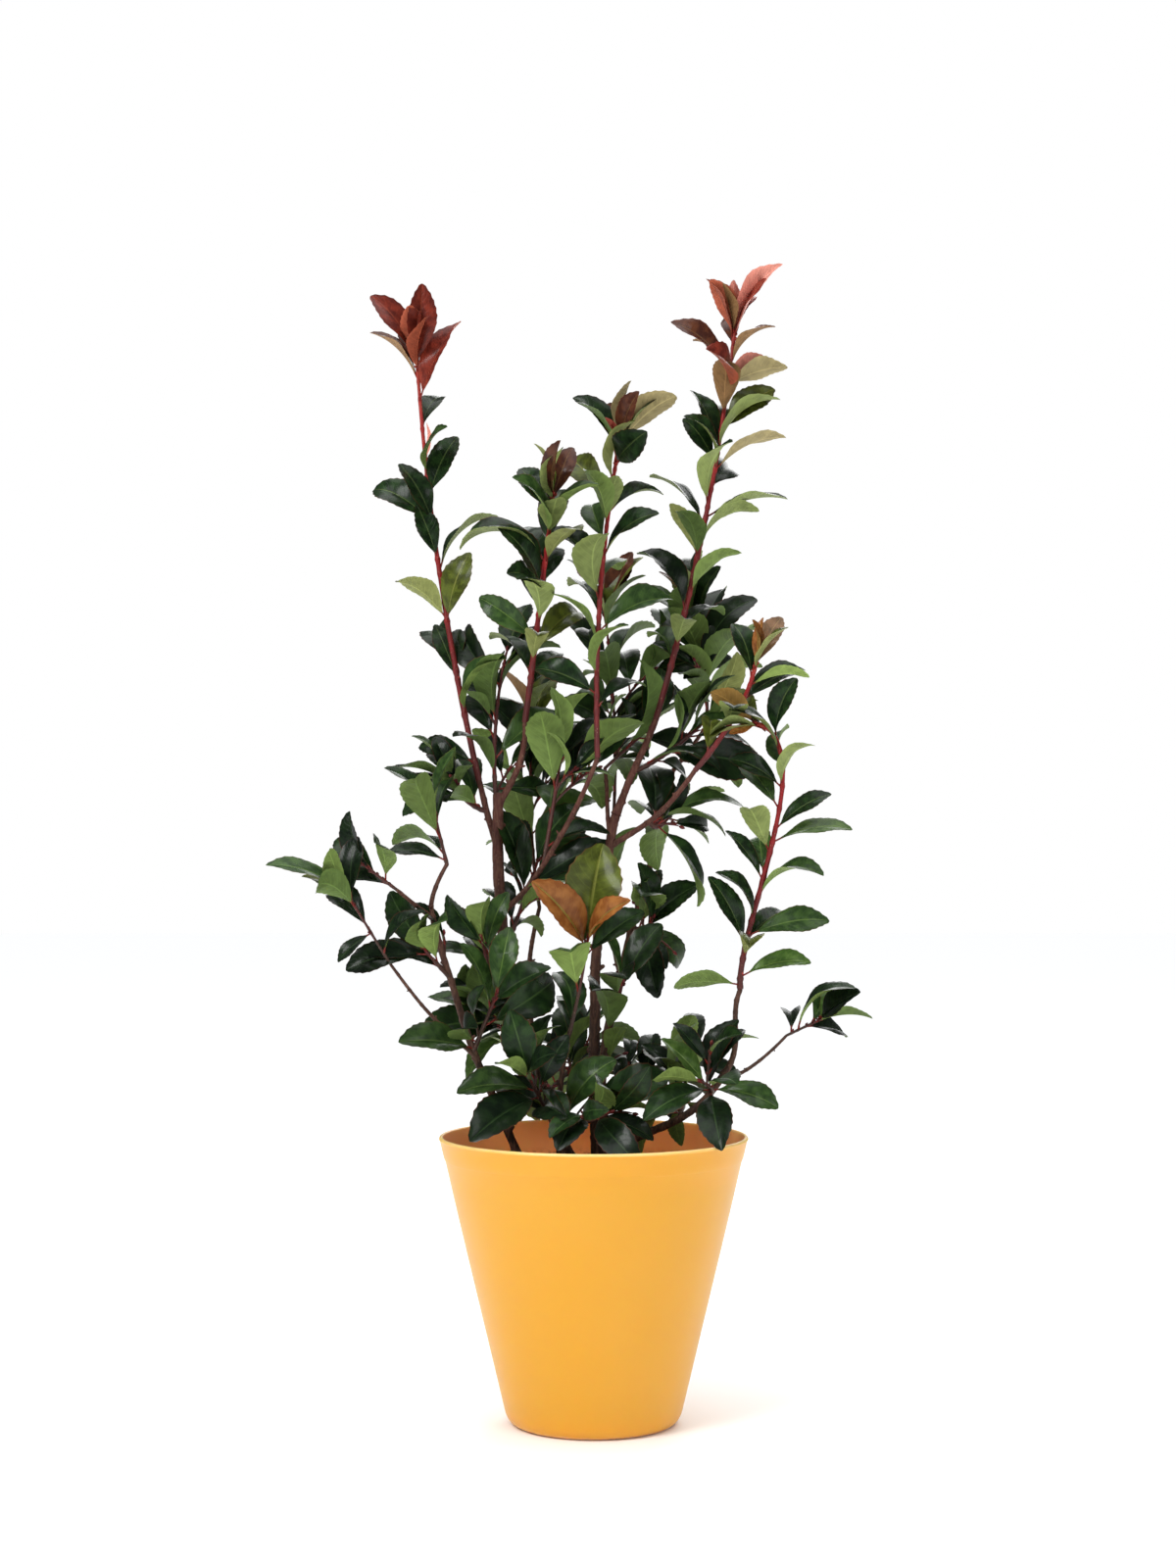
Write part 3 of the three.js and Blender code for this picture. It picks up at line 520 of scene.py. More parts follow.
@dataclass(frozen=True)
class LeafFinish:
    """A leaf's display colours: its upper side's two greens, its underside, midrib and stalk.

    gloss is the upper side's least roughness, and relief the depth and strength of the bumps.
    """

    dark: Triple
    light: Triple
    under: Triple
    rib: Triple
    gloss: float
    stalk: Triple = (120, 42, 36)
    veins: Triple = (13.0, 1.9, 0.6)
    relief: Pair = (0.0003, 0.7)

    def pattern(self, shader: Shader) -> dict[str, Socket]:
        """The parts of a leaf's pattern, read from its own map.

        across runs from -1 to 1 between the edges and along from 0 at the stalk to 1 at the tip. The
        side veins lie where n along - slant |across| - curl across^2 is whole, with veins giving n,
        slant and curl.

        Args:
            shader: The material that reads it.

        Returns:
            The named parts.
        """
        x, y, _ = shader.axes(shader.node("ShaderNodeUVMap", {"uv_map": LEAF_MAP}))
        number, slant, curl = self.veins
        column = (x * MAP_COLUMNS).whole()
        across = ((x * MAP_COLUMNS).part() - 0.5) / MAP_HALF
        along = ((y * 2).part() - MAP_MARGIN) / MAP_REACH
        off = abs(across)
        between = abs((along * number - off * slant - off * off * curl).part() - 0.5) * 2
        spot = shader.joined(across * 15, along * 74, column * 37)
        return {
            "column": column,
            "off": off,
            "rib": 1 - off.ease(0.02, 0.075),
            "veins": between.ease(0.72, 1.0) * (1 - off.ease(0.7, 1.0)),
            "blotch": shader.noise(spot, 0.11, 2.0).ease(0.36, 0.66),
            "grain": shader.noise(spot, 0.9, 3.0, 0.6),
            "stalk": 1 - along.ease(0.10, 0.16),
        }

    def upper(self, name: str) -> bpy.types.Material:
        """The glossy upper side, with sunk veins and a thin red edge.

        Args:
            name: The material's name.

        Returns:
            The material.
        """
        shader = Shader(name, Specular_IOR_Level=0.12, Coat_Weight=0.12, Coat_Roughness=0.13)
        leaf = self.pattern(shader)
        green = shader.coated(
            self.dark,
            (leaf["blotch"], 0.75, self.light),
            (leaf["veins"], 0.22, self.light),
            (leaf["rib"], 0.62, self.rib),
            (leaf["off"].ease(0.93, 1.0), 0.35, self.stalk),
        )
        colour = shader.mix(leaf["stalk"], shader.dim(green, leaf["column"] * 0.11 + 0.82), self.stalk)
        height = leaf["grain"] * 0.14 - leaf["veins"] * 0.45 - leaf["rib"] * 0.8
        return shader.finished(colour, leaf["grain"] * 0.14 + self.gloss, height, *self.relief)

    def lower(self, name: str) -> bpy.types.Material:
        """The matt underside with its raised, paler ribs, and painted light paling it towards the edges.

        Args:
            name: The material's name.

        Returns:
            The material.
        """
        shader = Shader(name, Specular_IOR_Level=0.15)
        leaf, under = self.pattern(shader), array(self.under)
        green = shader.coated(
            under,
            (leaf["blotch"], 0.6, 0.8 * under),
            (leaf["veins"], 0.35, 1.14 * under),
            # painted light: paler towards the edges, standing in for the shading across the underside
            (leaf["off"].ease(0.55, 1.0), 0.3, 1.12 * under),
            (leaf["rib"], 0.6, 1.25 * under),
        )
        colour = shader.mix(leaf["stalk"], shader.dim(green, leaf["column"] * 0.08 + 0.88), self.stalk)
        height = leaf["veins"] * 0.8 + leaf["rib"] * 0.9
        return shader.finished(colour, leaf["grain"] * 0.2 + 0.48, height, *self.relief)


class Tint(Enum):
    """The leaves' colours, from the old green ones to the young red ones; the first two are old greens
    darkened further as painted shade.
    """

    # The first two greens are darkened as painted shade, for the leaves inside the lower crown.
    DEEP = LeafFinish((12, 24, 13), (25, 42, 20), (92, 114, 58), (52, 72, 42), 0.26)
    SHADE = LeafFinish((20, 37, 16), (38, 62, 26), (108, 130, 66), (70, 94, 50), 0.29)
    DARK = LeafFinish((16, 30, 14), (34, 57, 25), (138, 152, 88), (84, 100, 56), 0.26)
    MID = LeafFinish((35, 56, 24), (62, 87, 40), (120, 142, 74), (96, 120, 60), 0.3)
    FRESH = LeafFinish((56, 82, 32), (86, 112, 52), (132, 154, 80), (124, 150, 76), 0.33)
    OLIVE = LeafFinish((54, 60, 18), (88, 98, 34), (138, 144, 84), (122, 124, 60), 0.28)
    BRONZE = LeafFinish((62, 32, 24), (94, 54, 34), (150, 114, 74), (116, 84, 52), 0.26)
    RED = LeafFinish((90, 32, 24), (138, 54, 38), (176, 90, 64), (152, 72, 52), 0.27)
    CORAL = LeafFinish((134, 50, 40), (176, 92, 74), (226, 146, 128), (198, 124, 98), 0.32)
    ORANGE = LeafFinish((128, 74, 32), (166, 110, 56), (158, 122, 64), (152, 148, 64), 0.28)
    TAN = LeafFinish((96, 72, 48), (134, 100, 72), (164, 150, 106), (156, 128, 88), 0.34)


@dataclass(frozen=True)
class BarkFinish:
    """Bark whose colour goes from the soil up, with pale pores and fine cracks."""

    foot: Triple = (38, 28, 24)
    middle: Triple = (66, 47, 39)
    top: Triple = (80, 42, 37)
    streak: Triple = (112, 80, 64)
    pore: Triple = (128, 100, 82)
    foot_height: float = 0.262
    colour_span: float = 0.4

    def material(self) -> bpy.types.Material:
        """The bark of the stems and boughs.

        Returns:
            The material.
        """
        shader = Shader("bark", Specular_IOR_Level=0.2)
        place = shader.place()
        streak = shader.noise(shader.place(1.0, 1.0, 0.22), 420.0, 4.0, 0.6)
        patch = shader.noise(place, 60.0, 2.0)
        pore = 1 - shader.cells(shader.place(1.0, 1.0, 0.6), 230.0).ease(0.10, 0.22)
        rise = (shader.axes(place)[2] - self.foot_height) / self.colour_span
        stops = (0.0, self.foot), (0.30, self.middle), (1.0, self.top)
        colour = shader.coated(
            shader.ramp(rise + (patch - 0.5) * 0.3, *stops),
            (streak.ease(0.35, 0.7), 0.6, self.streak),
            (pore, 0.5, self.pore),
        )
        colour = shader.dim(colour, patch * 0.9 + 0.5)
        height = streak * 0.8 + pore * 0.5 + patch * 0.3
        return shader.finished(colour, streak * 0.25 + 0.55, height, depth=0.0009, strength=0.9)


@dataclass(frozen=True)
class ShootFinish:
    """Young bark that reddens towards the tip, as the attribute YOUTH says."""

    old: Triple = (66, 48, 40)
    purple: Triple = (88, 36, 36)
    red: Triple = (146, 30, 32)
    tip: Triple = (150, 60, 46)
    pore: Triple = (176, 140, 112)

    def material(self) -> bpy.types.Material:
        """The skin of the shoots and buds.

        Returns:
            The material.
        """
        shader = Shader("young_bark", Specular_IOR_Level=0.25)
        youth = shader.youth()
        blush = shader.noise(shader.place(1.0, 1.0, 0.4), 160.0, 3.0)
        pore = 1 - shader.cells(shader.place(1.0, 1.0, 0.5), 300.0).ease(0.08, 0.18)
        stops = (0.0, self.old), (0.35, self.purple), (0.75, self.red), (1.0, self.tip)
        colour = shader.coated(shader.ramp(youth + (blush - 0.5) * 0.35, *stops), (pore, 0.4, self.pore))
        colour = shader.dim(colour, blush * 0.5 + 0.75)
        height = blush * 0.6 + pore * 0.4
        return shader.finished(colour, blush * 0.2 + 0.36, height, depth=0.0004, strength=0.7)


@dataclass(frozen=True)
class PlasticFinish:
    """Satin moulded plastic that lets a little light through: painted highlight on the lip, painted light
    inside, dust at the soil.

    Heights and radii are in metres, each pair where something starts and where it is in full. The
    outer side's radius is side_foot + side_slope z, and the lining's depth pair is how far inside that
    the lining lies, which is painted paler as light falling on the inside wall.
    """

    body: Triple = (226, 158, 6)
    # the colour of the painted highlight on the lip
    painted_lip_highlight: Triple = (252, 206, 140)
    # the inside wall's colour, painted paler as light falling in
    painted_lit_lining: Triple = (255, 188, 128)
    dust: Triple = (150, 104, 62)
    # where the lip's painted highlight starts and where it is in full
    lip_height: Pair = (0.2912, 0.2942)
    dust_foot: Pair = (0.250, 0.255)
    dust_top: Pair = (0.257, 0.270)
    dust_reach: Pair = (0.146, 0.1495)
    side_foot: float = 0.0884
    side_slope: float = 0.243
    # how far inside the outer side the painted light on the inside wall starts and is in full
    painted_lit_lining_depth: Pair = (0.003, 0.004)

    def material(self) -> bpy.types.Material:
        """The planter's plastic.

        Returns:
            The material.
        """
        shader = Shader(
            "planter_plastic", Specular_IOR_Level=0.5, Coat_Weight=0.1, Coat_Roughness=0.25,
            Subsurface_Weight=0.5, Subsurface_Radius=(1.0, 0.58, 0.12), Subsurface_Scale=0.015,
        )
        place = shader.place()
        x, y, height = shader.axes(place)
        flat = shader.joined(x, y, 0.0)
        reach = shader.node("ShaderNodeVectorMath", {"operation": "LENGTH"}, {0: flat}, 1)
        depth = height * self.side_slope + self.side_foot - reach
        cloud = shader.noise(place, 7.0, 3.0)
        ring = height.ease(*self.dust_foot) * (1 - height.ease(*self.dust_top))
        soiled = ring * (1 - reach.ease(*self.dust_reach))
        splash = soiled * shader.noise(place, 130.0, 4.0, 0.7).ease(0.42, 0.62)
        colour = shader.coated(
            self.body,
            # painted highlight: the top of the lip paler
            (height.ease(*self.lip_height), 0.8, self.painted_lip_highlight),
            (cloud.ease(0.3, 0.75), 0.04, self.painted_lip_highlight),
            # painted light: the inside wall paler, as if lit
            (depth.ease(*self.painted_lit_lining_depth), 0.8, self.painted_lit_lining),
            (splash, 0.6, self.dust),
        )
        peel = shader.noise(place, 900.0, 2.0)
        rough = cloud * 0.14 + splash * 0.25 + 0.34
        return shader.finished(colour, rough, peel, depth=0.00006, strength=0.6)


@dataclass(frozen=True)
class SoilFinish:
    """Damp potting mix: dark crumbs with paler fibres."""

    dark: Triple = (38, 28, 22)
    light: Triple = (86, 66, 50)

    def material(self) -> bpy.types.Material:
        """The potting mix between the chips.

        Returns:
            The material.
        """
        shader = Shader("potting_mix", Specular_IOR_Level=0.3)
        place = shader.place()
        crumb = shader.cells(place, 210.0)
        fibre = shader.noise(shader.place(1.0, 0.35, 1.0), 420.0, 4.0, 0.65)
        colour = shader.mix(crumb * 0.7 + fibre * 0.5 - 0.2, self.dark, self.light)
        colour = shader.dim(colour, shader.noise(place, 22.0, 3.0) * 0.8 + 0.55)
        height = fibre * 0.6 - crumb
        return shader.finished(colour, fibre * 0.2 + 0.75, height, depth=0.002)


@dataclass(frozen=True)
class ChipFinish:
    """Composted bark chips, each a little different by the attribute YOUTH."""

    black: Triple = (34, 25, 20)
    brown: Triple = (72, 50, 36)
    tan: Triple = (116, 84, 58)
    bleached: Triple = (206, 198, 184)

    def material(self) -> bpy.types.Material:
        """The chips on the potting mix.

        Returns:
            The material.
        """
        shader = Shader("bark_chips", Specular_IOR_Level=0.3)
        grain = shader.noise(shader.place(1.0, 0.3, 0.6), 380.0, 4.0, 0.6)
        stops = (0.0, self.black), (0.45, self.brown), (0.8, self.tan), (0.97, self.bleached)
        colour = shader.dim(shader.ramp(shader.youth(), *stops), grain * 0.8 + 0.6)
        return shader.finished(colour, grain * 0.2 + 0.68, grain, depth=0.0008, strength=0.9)


# ---------------------------------------------------------------- planter and soil


@dataclass(frozen=True)
class Planter:
    """A turned planter: straight tapered side, rounded foot, faint band under a rounded lip.

    band is the band's height and step how far it stands out, floor the height of the inside's
    floor, and hollow how far the underside's middle lies off the ground.
    """

    height: float = 295.0
    rim: float = 160.0
    foot: float = 92.0
    rounding: float = 15.0
    wall: float = 5.0
    floor: float = 7.0
    band: float = 24.0
    step: float = 0.8
    step_power: int = 6
    hollow: float = 2.5
    lip_height: float = 2.9
    lip_gap: float = 1.3
    lip_arc: Pair = (8.0, 172.0)
    sides: int = 160
    finish: PlasticFinish = PlasticFinish()

    def radius(self, z: Any) -> Any:
        """The outer radius of the straight side at a height."""
        return lerp(self.foot, self.rim, (z - self.rounding) / (self.height - self.rounding))

    def inner_radius(self, z: Any, gap: float = 0.0) -> Any:
        """The inner radius at a height, less a gap."""
        return self.radius(z) - self.wall - gap

    def profile(self) -> np.ndarray:
        """The wall's section: the foot is the curve (1 - t)^2 a + 2 t (1 - t) b + t^2 c, the side
        draws in by step (z / band's foot)^6 up to the band, and the lip is an arc.

        Returns:
            Its (radius, height) points, from the underside's middle round to the floor's.
        """
        corner, band = self.foot - self.rounding, self.height - self.band
        t = np.linspace(0.0, 1.0, 9)
        bend = (1 - t) ** 2 * corner + 2 * t * (1 - t) * self.radius(0.0) + t**2 * self.foot
        side = np.linspace(self.rounding, band - 0.6, 12)[1:]
        upper = np.linspace(band + 2.0, self.height - self.lip_height - self.lip_gap, 4)
        arc = np.radians(np.linspace(*self.lip_arc, 11))
        half, spring = self.wall / 2, self.height - self.lip_height
        inside = np.linspace(self.height - 5.0, self.floor + self.rounding, 14)
        under = [(8, self.hollow), (5, self.hollow), (3.5, 0.4), (2.5, 0)]
        rise = [(self.step * 0.9, -0.3), (self.step * 0.4, 0.2), (0.05, 1.0)]
        well = [(corner + 2.0, self.floor + self.wall), (corner - self.wall, self.floor)]
        parts = [
            array([(corner - inwards, z) for inwards, z in under]).T,
            (bend, t**2 * self.rounding),
            (self.radius(side) - self.step * (side / band) ** self.step_power, side),
            array([(self.radius(band) - inwards, band + up) for inwards, up in rise]).T,
            (self.radius(upper), upper),
            (self.rim - half + half * np.cos(arc), spring + self.lip_height * np.sin(arc)),
            (self.inner_radius(inside), inside),
            array(well).T,
        ]
        return np.concatenate([np.stack(part, axis=-1) for part in parts])

    def build(self) -> None:
        """Turns the profile about Z."""
        profile = self.profile()
        rings = turned(profile[:, 0], profile[:, 1], self.sides).reshape(-1, 3)
        points = np.concatenate([array([[0, 0, self.hollow]]), rings, array([[0, 0, self.floor]])])
        piece = Piece("planter", self.finish.material())
        piece.add(points, turned_faces(len(profile), self.sides))
        piece.build("pot", ["pot"], crease=38.0)


@dataclass(frozen=True)
class PottingSoil:
    """Potting mix with an uneven top, and bark chips and crumbs lying on it.

    chip_sizes are a gamma draw's shape and scale and the least and greatest size, chip_girth the
    width and thickness as shares of the size, and chip_kinds a beta draw's two shapes.
    """

    planter: Planter
    level: float = 255.0
    depth: float = 30.0
    gap: float = 0.05
    rings: int = 44
    sides: int = 150
    waves: int = 26
    wave_numbers: Pair = (0.03, 0.9)
    wave_height: float = 0.62
    wave_fall: float = 2.4
    chips: int = 520
    chip_rows: int = 4
    chip_ends: Pair = (0.12, 0.88)
    chip_sides: int = 5
    chip_girth: Pair = (0.5, 0.26)
    chip_jag: float = 0.28
    chip_sizes: tuple[Pair, Pair] = ((2.4, 1.9), (1.6, 13.0))
    chip_lean: float = 0.22
    chip_rise: float = 0.08
    chip_margin: float = 15.0
    chip_kinds: Pair = (1.6, 2.6)
    seed: int = 12
    mix: SoilFinish = SoilFinish()
    chip: ChipFinish = ChipFinish()

    def heave(self, x: np.ndarray, y: np.ndarray) -> np.ndarray:
        """The top's height over the soil level: the sum of a_i sin(k_i . (x, y) + p_i).

        Args:
            x: Places along X.
            y: Places along Y.

        Returns:
            The heights.
        """
        rng = np.random.default_rng(self.seed)
        reach = np.geomspace(*self.wave_numbers, self.waves)
        heading, phase = rng.uniform(0, 2 * np.pi, (2, self.waves))
        along = x[..., None] * (reach * np.cos(heading)) + y[..., None] * (reach * np.sin(heading))
        return np.sin(along + phase) @ (self.wave_height / (1 + self.wave_fall * reach))

    def surface(self) -> Piece:
        """A closed body: a skirt from its flat underside, and a polar grid for the top.

        Returns:
            The piece.
        """
        low = self.level - self.depth
        edge, foot = (self.planter.inner_radius(z, self.gap) for z in (self.level, low))
        radii = np.concatenate([[foot], np.linspace(edge, edge / self.rings, self.rings)])
        heights = np.full(len(radii), self.level)
        heights[0] = low
        rings = turned(radii, heights, self.sides)
        rings[1:, :, 2] += self.heave(rings[1:, :, 0], rings[1:, :, 1])
        centre = self.level + float(self.heave(np.zeros(1), np.zeros(1))[0])
        points = np.concatenate([array([[0, 0, low]]), rings.reshape(-1, 3), array([[0, 0, centre]])])
        piece = Piece("potting_mix", self.mix.material())
        piece.add(points, turned_faces(len(rings), self.sides))
        return piece

    def scatter(self) -> Piece:
        """Chips: rings of radius 0.5 sin(pi v)^0.6, jagged, squeezed and turned by their own axes.

        Returns:
            The piece.
        """
        rng = np.random.default_rng(self.seed + 1)
        v = np.linspace(*self.chip_ends, self.chip_rows)
        ring = turned(0.5 * np.sin(np.pi * v) ** 0.6, v - 0.5, self.chip_sides)
        jag = 1 + rng.uniform(-self.chip_jag, self.chip_jag, (self.chips, *ring.shape[:2], 1))
        spread, limits = self.chip_sizes
        size = rng.gamma(*spread, self.chips).clip(*limits)
        shape = np.stack([size * self.chip_girth[0], size * self.chip_girth[1], size], axis=-1)
        heading, lean = rng.uniform(0, 2 * np.pi, self.chips), rng.normal(0, self.chip_lean, self.chips)
        axis = unit(np.stack([np.cos(heading), np.sin(heading), np.sin(lean)], axis=-1))
        wide = unit(np.cross(array([0, 0, 1]), axis))
        frames = np.stack([wide, np.cross(axis, wide), axis], axis=1)
        body = np.einsum("nrsk,nk,nkj->nrsj", ring[None] * jag, shape, frames)
        room = self.planter.radius(self.level) - self.chip_margin
        reach = np.sqrt(rng.uniform(0, 1, self.chips)) * room
        turn = rng.uniform(0, 2 * np.pi, self.chips)
        x, y = reach * np.cos(turn), reach * np.sin(turn)
        place = np.stack([x, y, self.level + self.heave(x, y) + self.chip_rise * size], axis=-1)
        kind = np.repeat(rng.beta(*self.chip_kinds, self.chips), v.size * self.chip_sides)
        piece = Piece("bark_chips", self.chip.material())
        piece.add_lofts(body + place[:, None, None], values=kind)
        return piece

    def build(self) -> None:
        """Makes the potting mix and its chips."""
        self.surface().build("soil", ["potting_soil"])
        self.scatter().build("soil", ["potting_soil"], crease=30.0)


# ---------------------------------------------------------------- stems and boughs


@dataclass(frozen=True)
class Limb:
    """A stem, from its foot (x, y) in the soil, or a bough, from a fraction "at" of another limb."""

    tip: Triple
    radii: Pair
    foot: Pair = (0.0, 0.0)
    on: str = ""
    at: float = 1.0
    bow: Triple = (0.0, 0.0, 0.0)
    hook: Triple = (0.0, 0.0, 0.0)


LIMBS = {
    "stem_left": Limb((-162, -76, 522), (4.8, 3.4), (-66, -20), bow=(-8, 5, -2)),
    "stem_left_centre": Limb((-99, 14, 648), (7.4, 6.2), (-24, 4), bow=(-14, 3, 20), hook=(-6, 3, -48)),
    "stem_centre": Limb((23, 4, 627), (6.8, 5.2), (5, 14), bow=(-12, 4, 13)),
    "stem_right": Limb((132, -30, 360), (5, 4), (22, -6), bow=(-25, -9, 19), hook=(14, 0, -26)),
    "stem_front": Limb((-28, -48, 392), (3.8, 2.6), (-32, -22), bow=(-4, 3, 10)),
    "stem_back": Limb((80, 108, 667), (5.4, 3.2), (16, 34), bow=(-42, -18, -8), hook=(27, 16, 7)),
    "stem_back_left": Limb((-58, 100, 528), (4.2, 2.4), (-16, 42), bow=(-28, -2, 2)),
    "bough_left_low": Limb((-197, -98, 551), (2.6, 1.9), on="stem_left"),
    "bough_left_inner": Limb((-148, -74, 576), (2.9, 2.2), on="stem_left", bow=(-7, -1, -3)),
    "bough_far_left": Limb((-203, -100, 477), (2.4, 1.7), on="stem_left", at=0.47, bow=(-3, 1, -3)),
    "bough_left_tall": Limb((-120, 26, 663), (4, 3.3), on="stem_left_centre", at=0.9),
    "bough_left_centre_tall": Limb(
        (-71, 0, 723), (3.8, 3), on="stem_left_centre", at=0.985, bow=(7, 0, -3)
    ),
    "bough_cross": Limb((4, -38, 685), (3.4, 2.6), on="stem_left_centre", at=0.76, bow=(3, -13, -17)),
    "bough_centre_mid": Limb((12, 30, 676), (2.8, 2.1), on="stem_centre", at=0.91),
    "bough_right_tall": Limb((65, 18, 726), (4.4, 3.6), on="stem_centre"),
    "bough_right_diagonal": Limb((104, -30, 672), (3.4, 2.7), on="stem_centre", at=0.9, bow=(5, -4, -6)),
    "bough_right_arch": Limb(
        (151, -20, 447), (3.4, 2.8), on="stem_right", bow=(12, 0, -4), hook=(-10, 0, 3)
    ),
    "bough_low_right": Limb((203, 40, 395), (2.4, 1.7), on="stem_right", bow=(-6, -5, -13)),
    "bough_back": Limb((22, 150, 620), (3, 2.2), on="stem_back", at=0.5, bow=(-8, 12, -14)),
    "bough_back_right": Limb((124, 125, 726), (2.8, 2.2), on="stem_back"),
}


@dataclass
class WoodyFrame:
    """The stems and boughs as tubes with relief: ridges, rings at old leaf scars, flared feet.

    The two ridges and the knots are each a height as a share of the radius, turns round the limb and
    radians to a millimetre of it. ends are the last rings' radii as shares, and end_rows how far past
    the tip the last two stand. The stubs' rows and girths are shares of their length and of the radius.
    """

    level: float = 255.0
    sunk: float = 9.0
    flare: float = 0.55
    flare_height: float = 13.0
    collar: float = 0.45
    collar_height: float = 6.0
    broad_ridges: Triple = (0.04, 3, 0.05)
    fine_ridges: Triple = (0.025, 5, -0.11)
    knots: Triple = (0.06, 2, 0.9)
    knot_ripple: float = 0.31
    ring_gap: float = 21.0
    ring_rise: float = 0.15
    ring_half: float = 1.5
    ring_turn: float = 2.4
    scar_rise: Pair = (0.5, 1.6)
    shift: float = 6.0
    sway: float = 0.7
    sway_lengths: Pair = (17.0, 23.0)
    row_gap: float = 3.0
    ends: Triple = (0.94, 0.72, 0.3)
    end_rows: Pair = (0.9, 1.5)
    stub: Pair = (2.0, 6.0)
    stub_sides: int = 8
    stub_rows: tuple[float, ...] = (-0.35, 0.2, 0.75, 1.0)
    stub_girth: tuple[float, ...] = (0.62, 0.5, 0.4, 0.22)
    stub_lean: float = 0.5
    stub_root: float = 0.8
    stub_width: float = 0.9
    stub_shuffle: float = 7.3
    bared: float = 0.9
    sides: int = 18
    phase_step: float = 1.7
    finish: BarkFinish = BarkFinish()
    curves: dict[str, Curve] = field(default_factory=dict)

    def __post_init__(self) -> None:
        """Works out each limb's centre line, parents first."""
        for name, limb in LIMBS.items():
            base = self.curves[limb.on].point(limb.at) if limb.on else array([*limb.foot, self.level])
            self.curves[name] = Curve(base, array(limb.tip), array(limb.bow), array(limb.hook))

    def radius(self, name: str, t: Any) -> Any:
        """A limb's radius without its relief: stems flare by 1 + flare exp(-d / height) at the soil.

        Args:
            name: The limb.
            t: A number or an array, from 0 at its foot to 1 at its tip.

        Returns:
            The radius at t.
        """
        limb, span = LIMBS[name], self.curves[name].span
        flare = 0.0 if limb.on else self.flare
        return lerp(*limb.radii, t) * (1 + flare * np.exp(-np.maximum(t, 0) * span / self.flare_height))

    def scar_turn(self, along: np.ndarray, phase: float) -> np.ndarray:
        """Where the leaf scar of a place's ring lies round the limb: each ring turns it further."""
        return self.ring_turn * np.floor((along + self.shift * phase) / self.ring_gap)

    def relief(self, along: np.ndarray, phase: float) -> np.ndarray:
        """A limb's relief as a share of its radius: cosine ridges, knots, and a ring at each leaf scar.

        Args:
            along: The places of its rings, in millimetres from its foot.
            phase: Shifts its ridges and rings.

        Returns:
            The relief at each ring (rows) and angle (columns).
        """
        along, angle = along[:, None], angles(self.sides)[None]
        rise, turns, ripples = self.broad_ridges
        ridges = rise * np.cos(turns * angle + ripples * along + phase)
        rise, turns, ripples = self.fine_ridges
        ridges = ridges + rise * np.cos(turns * angle + ripples * along + 2 * phase)
        rise, turns, ripples = self.knots
        knots = rise * np.sin(ripples * along + turns * angle + phase) * np.sin(self.knot_ripple * along)
        from_ring = np.mod(along + self.shift * phase, self.ring_gap) - self.ring_gap / 2
        scar = np.cos((angle - self.scar_turn(along, phase)) / 2) ** 6
        low, more = self.scar_rise
        rings = self.ring_rise * np.exp(-((from_ring / self.ring_half) ** 2)) * (low + more * scar)
        return ridges + knots + rings

    def rings(self, name: str, phase: float) -> np.ndarray:
        """A limb's vertices: its radius times 1 + relief + collar, on a line that sways a little.

        Args:
            name: The limb.
            phase: Shifts its relief and its sway.

        Returns:
            The vertices, by ring, angle and axis.
        """
        limb, curve = LIMBS[name], self.curves[name]
        first = 0.0 if limb.on else -self.sunk
        along = np.linspace(first, curve.span, int((curve.span - first) / self.row_gap) + 2)
        along = np.concatenate([along, curve.span + array(self.end_rows)])
        taper = np.ones(len(along))
        taper[-len(self.ends):] = self.ends
        collar = self.collar * np.exp(-np.maximum(along, 0) / self.collar_height) if limb.on else 0 * along
        t = along / curve.span
        radii = self.bared * (self.radius(name, t) * taper)[:, None]
        section = curve.section(t)
        first_wave, second_wave = (along[:, None] / length for length in self.sway_lengths)
        sway = section.across * np.sin(first_wave + phase) + section.aside * np.cos(second_wave + phase)
        fade = self.sway * np.sin(np.pi * t.clip(0, 1))[:, None]
        return curve.tube(t, radii * (1 + self.relief(along, phase) + collar[:, None]), fade * sway)

    def stubs(self, name: str, phase: float) -> np.ndarray:
        """Old leaf scars and spurs, one at each ring: cones that lean out of the bark.

        Args:
            name: The limb.
            phase: The shift of its rings.

        Returns:
            The vertices, by stub, ring, angle and axis.
        """
        curve = self.curves[name]
        order = np.arange(1, int(curve.span / self.ring_gap))
        along = (order + 0.5) * self.ring_gap - self.shift * phase % self.ring_gap
        t = along / curve.span
        section = curve.section(t)
        outward = section.outward(self.scar_turn(along, phase))
        heading = unit(outward + self.stub_lean * section.along)
        limb = self.radius(name, t)[:, None]
        draw = 0.5 + 0.5 * np.sin(self.stub_shuffle * order + phase)
        length = lerp(*self.stub, draw**3)[:, None]
        wide = np.cross(section.along, outward)
        rows, girth = (array(part)[:, None, None] for part in (self.stub_rows, self.stub_girth))
        root = curve.point(t) + outward * limb * self.stub_root
        middle = root[:, None, None] + (heading * length)[:, None, None] * rows
        ring = circles(wide, np.cross(heading, wide), self.stub_sides)
        return middle + ring[:, None] * (limb * self.stub_width)[:, None, None] * girth

    def build(self) -> None:
        """Makes the bark piece."""
        piece = Piece("bark", self.finish.material())
        for index, name in enumerate(LIMBS):
            phase = self.phase_step * index
            piece.add_lofts(self.rings(name, phase)[None])
            piece.add_lofts(self.stubs(name, phase))
        piece.build("bark", list(LIMBS), crease=75.0)


# ---------------------------------------------------------------- foliage settings


@dataclass(frozen=True)
class Accent:
    """A single leaf that stands out: it leaves the shoot at "at" and ends at tip, its top to face."""

    at: float
    tip: Triple
    face: Triple
    tint: Tint
    bend: float = 30.0
    half_width: float = 0.225


